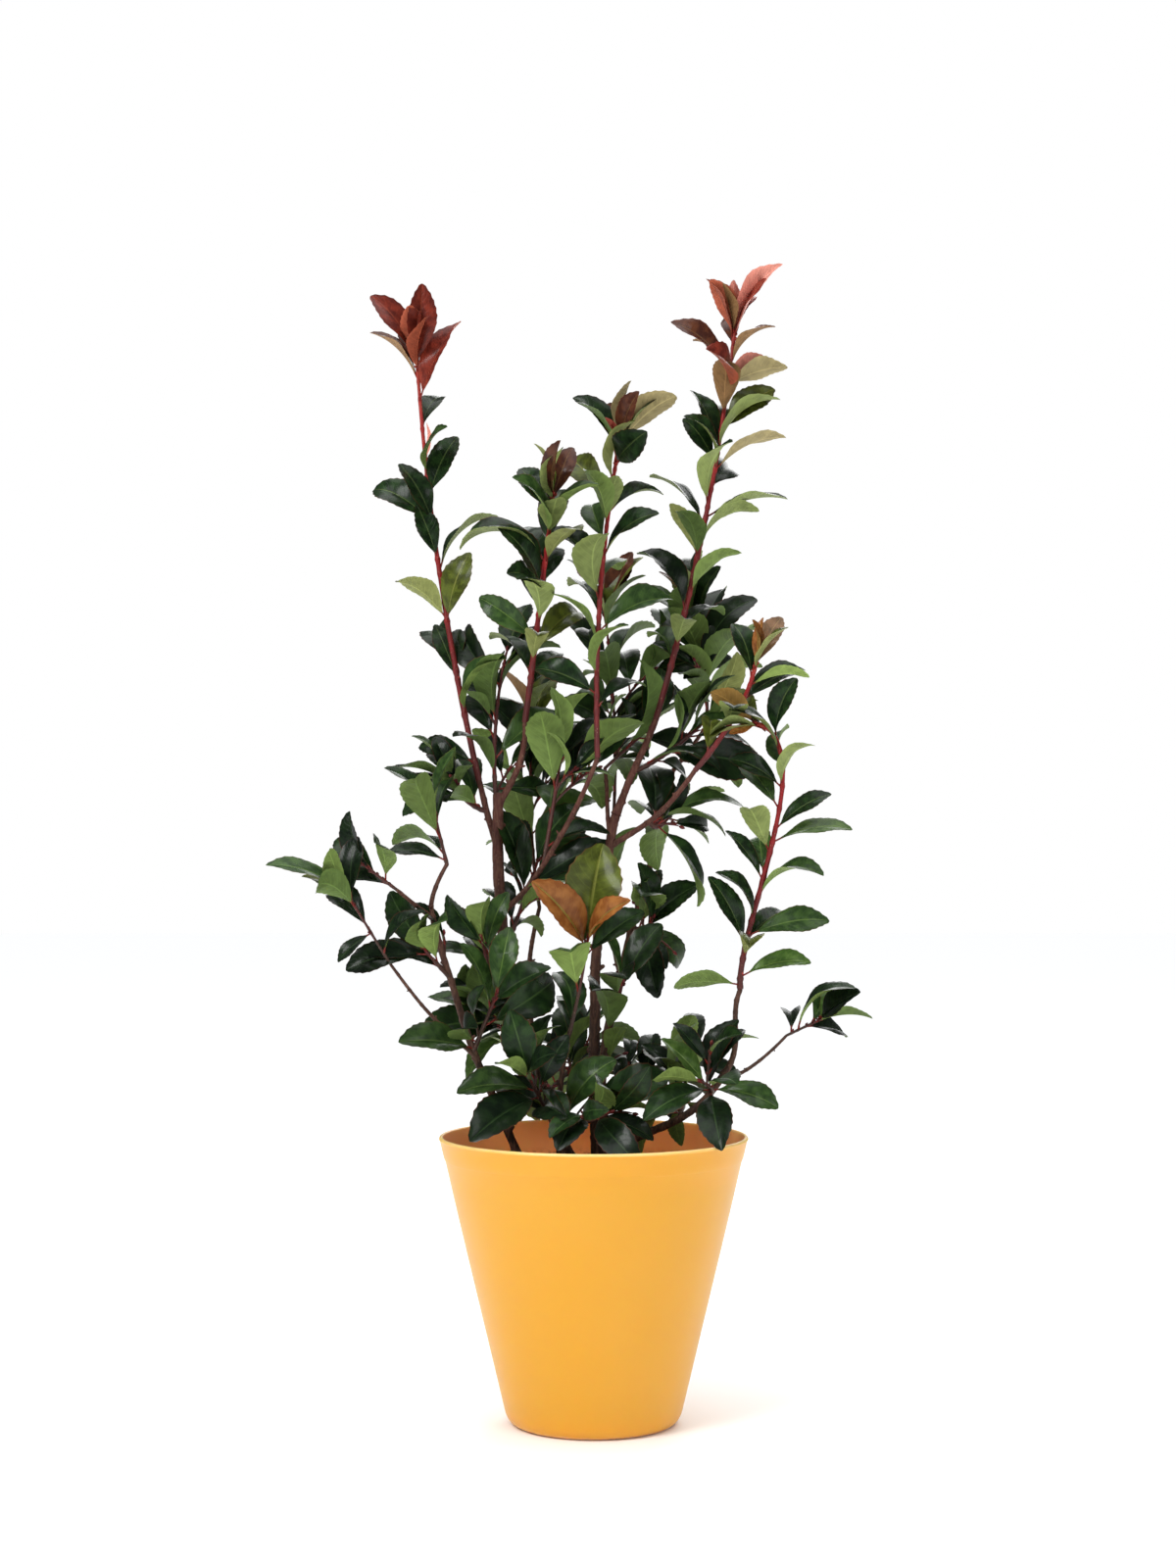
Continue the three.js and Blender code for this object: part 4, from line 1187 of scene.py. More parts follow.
@dataclass(frozen=True)
class Mass:
    """One spray of foliage on a shoot from its limb to tip.

    leaves stand along the shoot above the bare share of it, young are bunched at its tip, and
    sides are side shoots. turn is where the first leaf points, in degrees. flush gives the young
    leaves' tints, youngest last, and blush the top share of the shoot where most leaves are bronze
    or red. The solid has the accents too, and leaves the small leaves and the twigs out.
    """

    on: str
    tip: Triple
    leaves: int
    young: int
    length: float
    turn: float
    seed: int
    at: float = 1.0
    bow: Triple = (0.0, 0.0, 0.0)
    hook: Triple = (0.0, 0.0, 0.0)
    bare: float = 0.14
    sides: int = 0
    flush: tuple[Tint, ...] = (Tint.SHADE, Tint.MID)
    blush: float = 0.0
    tall: bool = False
    accents: tuple[Accent, ...] = ()
    small: tuple[Accent, ...] = ()
    twigs: int = 0

    def singles(self) -> tuple[Accent, ...]:
        """The accents, then the small leaves."""
        return self.accents + self.small


DEEP, SHADE, DARK, MID, FRESH, OLIVE, BRONZE, RED, CORAL, ORANGE, TAN = Tint

MASSES = {
    "foliage_left_tall": Mass(
        "bough_left_tall", (-188, 62, 1109), 9, 3, 80, 90, 68, bow=(-9, 2, -2), bare=0.04,
        flush=(RED, BRONZE, RED), blush=0.15, tall=True,
        accents=(
            Accent(0.985, (-236, 50, 1182), (1, -0.25, 0.2), RED, 30, 0.2),
            Accent(0.91, (-143, 55, 1156), (-0.25, -0.9, 0.3), RED, 30, 0.2),
            Accent(0.61, (-206, 40, 1000), (0.6, -0.6, 0.4), DARK),
            Accent(0.38, (-134, 30, 906), (-0.2, -0.9, 0.2), OLIVE),
        ),
        small=(
            Accent(0.99, (-182, 36, 1190), (0.1, -1, 0.2), RED, 16, 0.2),
            Accent(0.99, (-184, 34, 1160), (-0.5, -0.8, 0.2), RED, 10, 0.15),
            Accent(0.77, (-175, 40, 1043), (0.8, 0.5, 0.3), CORAL, 10, 0.16),
            Accent(0.68, (-144, 48, 1030), (-0.4, -0.8, 0.4), DARK, 24, 0.27),
            Accent(0.53, (-187, 44, 957), (0.3, -0.9, 0.2), DARK, 16, 0.22),
            Accent(0.24, (-171, 50, 830), (0.5, -0.8, 0.2), DARK, 12, 0.18),
            Accent(0.26, (-145, 66, 827), (-0.3, -0.9, 0.2), DARK, 12, 0.2),
        ),
    ),
    "foliage_right_tall": Mass(
        "bough_right_tall", (150, 48, 1142), 19, 5, 77, 40, 15, bow=(9, 1, -2),
        flush=(RED, CORAL, BRONZE, CORAL, CORAL), blush=0.3, tall=True,
        accents=(
            Accent(0.99, (197, 30, 1212), (-0.8, 0.5, 0.3), CORAL),
            Accent(0.89, (84, 31, 1152), (0.3, -0.6, 0.7), BRONZE),
            Accent(0.86, (205, 38, 1105), (-0.4, 0.9, 0.3), TAN, 30, 0.25),
            Accent(0.64, (203, 32, 1029), (-0.1, 0.3, 0.9), TAN),
            Accent(0.52, (205, 29, 963), (-0.1, 0.2, 0.9), DARK),
        ),
        small=(
            Accent(0.99, (146, 40, 1194), (0.3, 0.9, 0), CORAL, 8, 0.17),
            Accent(0.97, (122, 44, 1198), (0.7, -0.3, 0.4), RED, 18, 0.18),
            Accent(0.85, (119, -24, 1110), (0.3, -0.9, 0.3), RED, 26, 0.28),
            Accent(0.87, (180, 62, 1119), (-0.3, 0.8, 0.4), CORAL, 14, 0.22),
            Accent(0.74, (192, 40, 1080), (-0.4, -0.8, 0.4), OLIVE, 26, 0.28),
            Accent(0.68, (103, 54, 1082), (0.6, -0.7, 0.4), DARK, 30, 0.2),
            Accent(0.65, (96, 36, 1048), (0.6, -0.7, 0.4), DARK, 30, 0.2),
            Accent(0.42, (81, 20, 955), (0.5, 0.8, 0.2), OLIVE, 18, 0.18),
        ),
    ),
    "foliage_centre_tall": Mass(
        "bough_cross", (28, 14, 1021), 18, 3, 78, 30, 21, bow=(-9, -1, 3),
        flush=(DARK, BRONZE, TAN), tall=True,
        accents=(Accent(0.98, (86, -10, 1064), (-0.4, 0.9, 0.4), TAN, 30, 0.25),),
        small=(
            Accent(0.99, (12, 4, 1042), (-0.4, -0.6, 0.7), CORAL, 20, 0.2),
            Accent(0.99, (29, 22, 1077), (-0.8, -0.6, 0), RED, 8, 0.16),
            Accent(0.93, (-17, 30, 1070), (0.6, -0.3, 0.6), DARK, 34, 0.2),
            Accent(0.74, (23, -22, 978), (-0.2, 0.95, 0.2), DARK, 12, 0.28),
            Accent(0.92, (51, -52, 1020), (0.3, -0.9, 0.3), DARK, 22, 0.27),
            Accent(0.99, (46, -26, 1063), (-0.4, -0.8, 0.4), BRONZE, 16, 0.24),
        ),
    ),
    "foliage_left_centre_tall": Mass(
        "bough_left_centre_tall", (-41, -46, 954), 15, 3, 78, 0, 72,
        flush=(DARK, BRONZE, OLIVE), tall=True,
        accents=(Accent(0.7, (-141, -35, 901), (0.5, -0.2, 0.9), DARK, 100.0),),
        small=(
            Accent(0.99, (-37, -112, 999), (-0.4, -0.9, 0.1), BRONZE, 14, 0.17),
            Accent(0.92, (-66, -38, 976), (0.2, -0.9, 0.3), DARK, 20, 0.3),
            Accent(0.82, (-39, -80, 948), (0.1, 0.95, 0.3), DARK, 14, 0.3),
            Accent(0.58, (-97, -60, 921), (0.6, -0.6, 0.5), DARK, 34, 0.25),
        ),
    ),
    "foliage_right_arch": Mass(
        "bough_right_arch", (164, -50, 720), 13, 4, 70, 270, 10, bow=(-9, 7, -27), hook=(41, -7, 49),
        flush=(DARK, OLIVE, OLIVE, ORANGE), tall=True,
        accents=(
            Accent(0.5, (266, -38, 614), (0, -0.4, 0.9), FRESH, 30, 0.19),
            Accent(0.22, (243, -27, 521), (0, -0.6, 0.8), MID, 30, 0.2),
            Accent(0.06, (225, -22, 476), (0, -0.5, 0.9), FRESH, 30, 0.19),
        ),
        small=(
            Accent(0.99, (138, -66, 708), (0.2, -0.7, 0.6), ORANGE, 10, 0.17),
            Accent(0.67, (138, -50, 686), (0.5, -0.7, 0.5), DARK, 34, 0.21),
            Accent(0.18, (119, -40, 565), (0.5, -0.7, 0.5), DARK, 20, 0.17),
            Accent(0.39, (136, -24, 612), (0.6, -0.6, 0.5), DARK, 22, 0.18),
            Accent(0.02, (80, -50, 454), (0.1, 0.6, 0.8), SHADE, 14, 0.2),
        ),
    ),
    "foliage_right_diagonal": Mass(
        "bough_right_diagonal", (165, -60, 780), 4, 3, 69, 20, 95, bow=(10, -1, 2),
        flush=(OLIVE, TAN, ORANGE), tall=True,
        small=(
            Accent(0.99, (169, -66, 827), (-0.3, -0.9, 0), ORANGE, 8, 0.12),
            Accent(0.78, (219, -70, 768), (-0.1, 0.5, 0.9), FRESH, 30, 0.15),
        ),
    ),
    "foliage_far_left": Mass(
        "bough_far_left", (-245, -124, 549), 3, 3, 72, 240, 30, flush=(DEEP, OLIVE, MID),
        accents=(Accent(0.95, (-321, -152, 578), (0, -0.5, 0.9), MID, 30, 0.17),),
        small=(Accent(0.43, (-255, -120, 481), (0, -0.7, 0.7), DEEP, 18, 0.2),),
    ),
    "foliage_left_low": Mass(
        "bough_left_low", (-228, -112, 575), 3, 3, 73, 80, 49, flush=(DEEP, MID, OLIVE)
    ),
    "foliage_left_inner": Mass(
        "bough_left_inner", (-163, -66, 634), 3, 2, 81, 50, 49,
        accents=(Accent(0.06, (-207, -84, 591), (0, -0.5, 0.9), DEEP),),
    ),
    "foliage_left_upper": Mass(
        "bough_left_tall", (-153, 22, 671), 6, 2, 74, 170, 78, at=0.55, bow=(-4, 0, -6),
        flush=(DARK, MID), twigs=1,
    ),
    "foliage_left_stem": Mass(
        "stem_left", (-171, -84, 491), 4, 1, 86, 310, 99, at=0.78,
        accents=(Accent(0.8, (-250, -92, 474), (0, -0.6, 0.8), DEEP),),
        twigs=1,
    ),
    "foliage_left_foot": Mass(
        "stem_left", (-98, -66, 445), 3, 2, 86, 180, 60, at=0.5, twigs=2,
        small=(Accent(0.02, (-194, -96, 400), (0, -0.7, 0.7), MID, 20, 0.24),),
    ),
    "foliage_left_centre": Mass(
        "stem_left_centre", (-91, 30, 801), 8, 2, 86, 50, 91, at=0.955, bow=(-8, 4, 0),
        flush=(DARK, OLIVE), twigs=2,
    ),
    "foliage_inner_left": Mass(
        "stem_left_centre", (-115, -34, 501), 4, 2, 72, 320, 21, at=0.5, bow=(-4, -4, -8), twigs=2
    ),
    "foliage_cross": Mass("bough_cross", (-32, 6, 698), 4, 2, 86, 320, 33, at=0.42, sides=1, twigs=1),
    "foliage_cross_low": Mass("stem_left_centre", (-58, 40, 580), 7, 2, 86, 290, 5, at=0.66, twigs=2),
    "foliage_centre_mid": Mass("bough_centre_mid", (60, 56, 720), 3, 2, 86, 20, 53, twigs=1),
    "foliage_right_inner": Mass(
        "bough_right_tall", (124, 40, 734), 9, 2, 86, 200, 89, at=0.45, bow=(4, 4, -4),
        flush=(MID, OLIVE), twigs=1,
    ),
    "foliage_mid_right": Mass(
        "bough_right_diagonal", (81, 22, 630), 8, 1, 86, 100, 65, at=0.4, bow=(0, 0, -10), twigs=2
    ),
    "foliage_mid_right_low": Mass(
        "stem_back", (63, 44, 518), 4, 1, 86, 250, 9, at=0.62, bow=(0, 0, -12), twigs=2
    ),
    "foliage_front": Mass(
        "stem_front", (-6, -84, 501), 3, 5, 86, 100, 70, bow=(2, 2, 0),
        flush=(OLIVE, MID, ORANGE, OLIVE, BRONZE),
        accents=(
            Accent(0.94, (14, -98, 597), (-0.1, -0.95, 0.3), OLIVE, 30, 0.3),
            Accent(0.9, (-59, -122, 562), (0.3, -0.9, 0.4), ORANGE, 30, 0.23),
            Accent(0.97, (34, -140, 541), (-0.2, -0.7, 0.6), ORANGE, 30, 0.18),
        ),
    ),
    "foliage_low_right": Mass(
        "bough_low_right", (239, 58, 410), 3, 3, 69, 280, 68, flush=(MID, DEEP, FRESH),
        small=(Accent(0.99, (276, 10, 443), (-0.1, -0.9, 0.5), DEEP, 14, 0.3),),
    ),
    "foliage_rim_right": Mass(
        "stem_right", (109, -60, 356), 3, 2, 82, 60, 80, at=0.9, bow=(4, -6, 0), flush=(FRESH, FRESH),
        accents=(
            Accent(0.16, (122, -112, 294), (0.1, -0.9, 0.3), DEEP),
            Accent(0.3, (187, -66, 330), (0, -0.5, 0.9), MID),
        ),
        twigs=1,
    ),
    "foliage_low_right_inner": Mass("stem_right", (94, 14, 338), 3, 2, 84, 140, 45, at=0.68, twigs=2),
    "foliage_low_left": Mass(
        "stem_left_centre", (-66, -58, 361), 5, 2, 83, 140, 71, at=0.1, bow=(-4, -8, 8),
        accents=(Accent(0.5, (-123, -112, 304), (-0.1, -0.8, 0.6), DEEP),),
        twigs=3,
    ),
    "foliage_low_front": Mass(
        "stem_front", (17, -78, 327), 5, 1, 86, 330, 69, at=0.36, bow=(0, 0, -6), twigs=3
    ),
    "foliage_low_centre": Mass("stem_centre", (30, -16, 453), 3, 2, 86, 350, 53, at=0.2, twigs=2),
    "foliage_low_back_right": Mass(
        "stem_back", (123, 84, 379), 9, 2, 69, 40, 81, at=0.16, bow=(0, 0, -6), twigs=2
    ),
    "foliage_low_back": Mass(
        "stem_back_left", (-5, 132, 383), 9, 2, 84, 30, 7, at=0.28, bow=(0, 0, -6), sides=1, twigs=2
    ),
    "foliage_low_back_left": Mass(
        "stem_back_left", (-124, 96, 414), 9, 2, 84, 270, 6, at=0.5, bow=(0, 0, -6), twigs=2
    ),
    "foliage_back_left": Mass(
        "stem_back_left", (-66, 132, 726), 10, 3, 86, 350, 15, bow=(-6, 8, 0), sides=1,
        flush=(DARK, OLIVE, BRONZE), twigs=2,
    ),
    "foliage_back": Mass(
        "bough_back", (12, 166, 855), 10, 4, 86, 290, 33, bow=(6, 6, 0), sides=1,
        flush=(DARK, OLIVE, BRONZE, BRONZE), twigs=2,
    ),
    "foliage_back_right": Mass(
        "bough_back_right", (111, 142, 842), 11, 3, 86, 250, 24, bow=(4, 4, 0),
        flush=(DARK, OLIVE, BRONZE), twigs=2,
    ),
}

DEAL_SEED = 5000  # added to a mass's seed, for its tints and its twigs
LEAF_SEED = 300  # added to a tint's number, for its leaves' forms
# The low shoots mostly draw the two greens that are darkened as painted shade.
ALONG_SHOOT = ((0.58, DEEP), (0.86, SHADE), (0.96, MID), (1.0, FRESH))  # (draws below, tint)
ALONG_TALL_SHOOT = ((0.62, DARK), (0.8, MID), (0.92, OLIVE), (1.0, DEEP))
BLUSHED = ((0.5, BRONZE), (0.75, DARK), (1.0, RED))


@dataclass(frozen=True)
class GrowthRule:
    """How leaves stand on a shoot: angles in degrees, sizes in millimetres, spreads as shares.

    pitch and bend are at a shoot's foot and its tip, the young ones run from the oldest to the
    youngest, swell is a base share and what is added in mid-shoot, and the spans are shares of a
    shoot. Twigs are only in this script, and their leaves' bend and width are each a middle value
    and its spread.
    """

    turn: float = 137.5
    turn_spread: float = 18.0
    pitch: Pair = (62.0, 44.0)
    pitch_young: Pair = (40.0, 20.0)
    pitch_spread: float = 10.0
    bend: Pair = (55.0, 25.0)
    bend_young: float = 12.0
    bend_spread: float = 14.0
    half_width: float = 0.215
    width_spread: float = 0.12
    width_young: float = 1.08
    length_spread: float = 0.13
    swell: Pair = (0.84, 0.26)
    swell_span: Pair = (0.15, 0.85)
    young_from_tip: Pair = (13.0, 1.0)
    young_size: Pair = (0.96, 0.76)
    last_grown: float = 19.0
    sky_pull: float = 0.12
    sky_pull_flat: float = 1.7
    try_turns: tuple[float, ...] = (0, 35, -35, 70, -70, 110, -110, 150)
    side_span: Pair = (0.25, 0.75)
    side_length: float = 66.0
    side_spread: float = 0.15
    side_pitch: float = 52.0
    side_lift: float = 0.25
    side_bow: float = 0.08
    side_radius: float = 1.3
    side_leaves: tuple[int, int, float] = (5, 1, 0.3)
    twig_span: Pair = (0.08, 0.8)
    twig_turn_spread: float = 0.6
    twig_lift: float = 0.3
    twig_bow: float = 0.1
    twig_length: Pair = (26.0, 46.0)
    twig_leaves: int = 4
    twig_first: float = 0.6
    twig_leaf: float = 0.72
    twig_leaf_turn: float = 0.3
    twig_leaf_pitch: Pair = (58.0, 24.0)
    twig_leaf_spread: float = 0.2
    twig_leaf_bend: Pair = (30.0, 20.0)
    twig_leaf_width: Pair = (0.19, 0.15)
    twig_rank: float = 0.3
    shoot_step: float = 40.0
    shoot_foot: float = 0.85
    shoot_most: float = 2.6
    shoot_tip: float = 1.1
    same_place: float = 0.25
    accent_free: float = 0.2


RULE = GrowthRule()


# ---------------------------------------------------------------- growth


@dataclass(frozen=True)
class Leaf:
    """A leaf's root, its axes from root to tip and up out of its top, its size and its tint.

    free is how far it turns to the light, and how much it rolls and arches at random.
    """

    root: np.ndarray
    chord: np.ndarray
    face: np.ndarray
    length: float
    bend: float
    half_width: float
    tint: Tint
    free: float = 1.0

    def reach(self) -> float:
        """The straight distance from root to tip: the midrib's arc turns by bend over its length."""
        return self.length * math.sin(self.bend / 2) / (self.bend / 2)

    def tip(self) -> np.ndarray:
        """The midrib's end."""
        return self.root + self.chord * self.reach()


@dataclass(frozen=True)
class Shoot:
    """A shoot's centre line, its radius at its foot, and the fractions where its leaves stand."""

    curve: Curve
    foot_radius: float
    knots: tuple[float, ...] = ()

    def middle(self, t: float) -> np.ndarray:
        """The middle of the solid shoot, whose straight pieces cut the curve's corners.

        Args:
            t: The fraction of the shoot.

        Returns:
            The point.
        """
        steps = max(2, math.floor(self.curve.span / RULE.shoot_step + 0.5))
        piece = min(math.floor(t * steps), steps - 1)
        ends = self.curve.point(array([piece, piece + 1]) / steps)
        return lerp(ends[0], ends[1], t * steps - piece)


class Spray:
    """One mass grown again by the rule of its solid: what that holds, and small leaves and twigs."""

    def __init__(self, name: str, mass: Mass, wood: WoodyFrame, solid: np.ndarray) -> None:
        """Grows the spray.

        Args:
            name: The CAD node's name.
            mass: Its settings.
            wood: The limbs that carry it.
            solid: The node's vertices in millimetres.
        """
        self.name, self.mass, self.solid = name, mass, solid
        self.random = RandomStream(mass.seed)
        self.deal = RandomStream(mass.seed + DEAL_SEED)
        self.turn = math.radians(mass.turn)
        self.leaves: list[Leaf] = []
        self.shoots: list[Shoot] = []
        base = wood.curves[mass.on].point(mass.at)
        curve = Curve(base, array(mass.tip), array(mass.bow), array(mass.hook))
        foot = min(RULE.shoot_foot * float(wood.radius(mass.on, mass.at)), RULE.shoot_most)
        main = Shoot(curve, foot)
        side_shoots = [self.side_shoot(curve, number) for number in range(mass.sides)]
        self.grow_accents(main)
        self.grow(main, mass.leaves, mass.young, mass.bare)
        for shoot in side_shoots:
            self.grow(shoot, *RULE.side_leaves)
        for number in range(mass.twigs):
            self.grow_twig(curve, number)

    @staticmethod
    def branch(main: Curve, t: float, side: float, lift: float, length: float, bow: float) -> Curve:
        """The centre line of a side shoot or twig.

        Args:
            main: The line that it leaves.
            t: Where it leaves it.
            side: The angle round that line, in radians.
            lift: How far it turns up.
            length: Its length.
            bow: Its bow upwards, as a share of its length.

        Returns:
            The line.
        """
        heading = unit(main.section(t).direction(side, math.radians(RULE.side_pitch)) + array([0, 0, lift]))
        start = main.point(t)
        return Curve(start, start + heading * length, array([0, 0, bow * length]), np.zeros(3))

    def side_shoot(self, main: Curve, number: int) -> Shoot:
        """Places a side shoot along and round the main one.

        Args:
            main: The main shoot's line.
            number: The side shoot's number.

        Returns:
            The side shoot.
        """
        t = lerp(*RULE.side_span, (number + 0.5) / self.mass.sides)
        length = RULE.side_length * (1 + self.random.spread(RULE.side_spread))
        side = self.turn + (number + 0.5) * math.radians(RULE.turn)
        return Shoot(self.branch(main, t, side, RULE.side_lift, length, RULE.side_bow), RULE.side_radius)

    def held(self, leaf: Leaf) -> bool:
        """True where the solid has a vertex at the leaf's tip."""
        return bool(np.min(np.linalg.norm(self.solid - leaf.tip(), axis=1)) < RULE.same_place)

    def grow_accents(self, shoot: Shoot) -> None:
        """Adds the mass's single leaves: half their bend lies on each side of the chord.

        Args:
            shoot: The shoot that they leave.
        """
        for accent in self.mass.singles():
            root = shoot.middle(accent.at)
            line = array(accent.tip) - root
            chord, bend = unit(line), math.radians(accent.bend)
            length = float(np.linalg.norm(line)) * bend / (2 * math.sin(bend / 2))
            face = square(array(accent.face), chord)
            width, free = accent.half_width, RULE.accent_free
            self.leaves.append(Leaf(root, chord, face, length, bend, width, accent.tint, free))

    def grow(self, shoot: Shoot, leaves: int, young: int, bare: float) -> None:
        """Grows one shoot with its leaves, the young ones bunched at its tip.

        Args:
            shoot: The shoot.
            leaves: Full-grown leaves along it.
            young: Young leaves at its tip.
            bare: The share of it below its first leaf.
        """
        span, knots = shoot.curve.span, []
        for i in range(leaves + young):
            if i < leaves:
                rank = i / max(leaves - 1, 1)
                t = lerp(bare, 1 - RULE.last_grown / span, rank)
                size = RULE.swell[0] + RULE.swell[1] * math.sin(math.pi * lerp(*RULE.swell_span, rank))
                pitch, bend, width = lerp(*RULE.pitch, rank), lerp(*RULE.bend, rank), 1.0
            else:
                rank = (i - leaves + 0.5) / young
                t = 1 - lerp(*RULE.young_from_tip, rank) / span
                size, pitch = lerp(*RULE.young_size, rank), lerp(*RULE.pitch_young, rank)
                bend, width = RULE.bend_young, RULE.width_young
            turn = self.turn + math.radians(i * RULE.turn + self.random.spread(RULE.turn_spread))
            pitch = math.radians(pitch + self.random.spread(RULE.pitch_spread))
            length = self.mass.length * size * (1 + self.random.spread(RULE.length_spread))
            bend = math.radians(bend + self.random.spread(RULE.bend_spread))
            width = RULE.half_width * width * (1 + self.random.spread(RULE.width_spread))
            tint = self.tint_of(rank, i - leaves)
            section, root = shoot.curve.section(t), shoot.middle(t)
            for extra in RULE.try_turns:
                axes = self.axes(section, turn + math.radians(extra), pitch)
                leaf = Leaf(root, *axes, length, bend, width, tint)
                if self.held(leaf):
                    self.leaves.append(leaf)
                    knots.append(t)
                    break
        if knots or shoot.foot_radius != RULE.side_radius:
            if not self.shoots:
                knots.extend(accent.at for accent in self.mass.singles())
            self.shoots.append(Shoot(shoot.curve, shoot.foot_radius, tuple(knots)))

    def grow_twig(self, main: Curve, number: int) -> None:
        """Grows a fine twig that the solid leaves out, with the leaves that stay in the solid's box.

        Args:
            main: The shoot that it leaves.
            number: Its number on that shoot.
        """
        low, high = self.solid.min(axis=0), self.solid.max(axis=0)
        t = lerp(*RULE.twig_span, (number + self.deal()) / self.mass.twigs)
        side = self.turn + number * math.radians(RULE.turn) + self.deal.spread(RULE.twig_turn_spread)
        length = lerp(*RULE.twig_length, self.deal())
        twig = self.branch(main, t, side, RULE.twig_lift, length, RULE.twig_bow)
        knots = []
        for i in range(RULE.twig_leaves):
            rank = (i + RULE.twig_first) / RULE.twig_leaves
            turn = side + i * math.radians(RULE.turn) + self.deal.spread(RULE.twig_leaf_turn)
            pitch = math.radians(lerp(*RULE.twig_leaf_pitch, rank) + self.deal.spread(RULE.pitch_spread))
            size = self.mass.length * RULE.twig_leaf * (1 + self.deal.spread(RULE.twig_leaf_spread))
            bend = math.radians(RULE.twig_leaf_bend[0] + self.deal.spread(RULE.twig_leaf_bend[1]))
            width = RULE.twig_leaf_width[0] * (1 + self.deal.spread(RULE.twig_leaf_width[1]))
            tint = self.tint_of(RULE.twig_rank, -1)
            axes = self.axes(twig.section(rank), turn, pitch)
            leaf = Leaf(twig.point(rank), *axes, size, bend, width, tint)
            if (leaf.tip() > low).all() and (leaf.tip() < high).all():
                self.leaves.append(leaf)
                knots.append(rank)
        if knots:
            self.shoots.append(Shoot(twig, RULE.side_radius, tuple(knots)))

    @staticmethod
    def axes(section: Section, turn: float, pitch: float) -> tuple[np.ndarray, np.ndarray]:
        """Turns a leaf's top back along the shoot, and up where that lies flat.

        Args:
            section: The shoot's section at the leaf.
            turn: The leaf's angle round the shoot.
            pitch: Its angle away from the shoot.

        Returns:
            The leaf's chord and face.
        """
        chord = section.direction(turn, pitch)
        face = section.along * math.sin(pitch) - section.outward(turn) * math.cos(pitch)
        lift = RULE.sky_pull + RULE.sky_pull_flat * (1 - abs(section.along[2]))
        return chord, square(face + array([0, 0, lift]), chord)

    def tint_of(self, rank: float, young: int) -> Tint:
        """Deals a leaf its tint.

        Args:
            rank: Its place along the shoot, from 0 to 1.
            young: Its number among the young leaves, or below 0.

        Returns:
            The tint.
        """
        draw = self.deal()
        if young >= 0:
            return self.mass.flush[min(young, len(self.mass.flush) - 1)]
        shares = ALONG_TALL_SHOOT if self.mass.tall else ALONG_SHOOT
        if rank > 1 - self.mass.blush:
            shares = BLUSHED
        return next(tint for most, tint in shares if draw < most)


# ---------------------------------------------------------------- leaves, shoots and buds


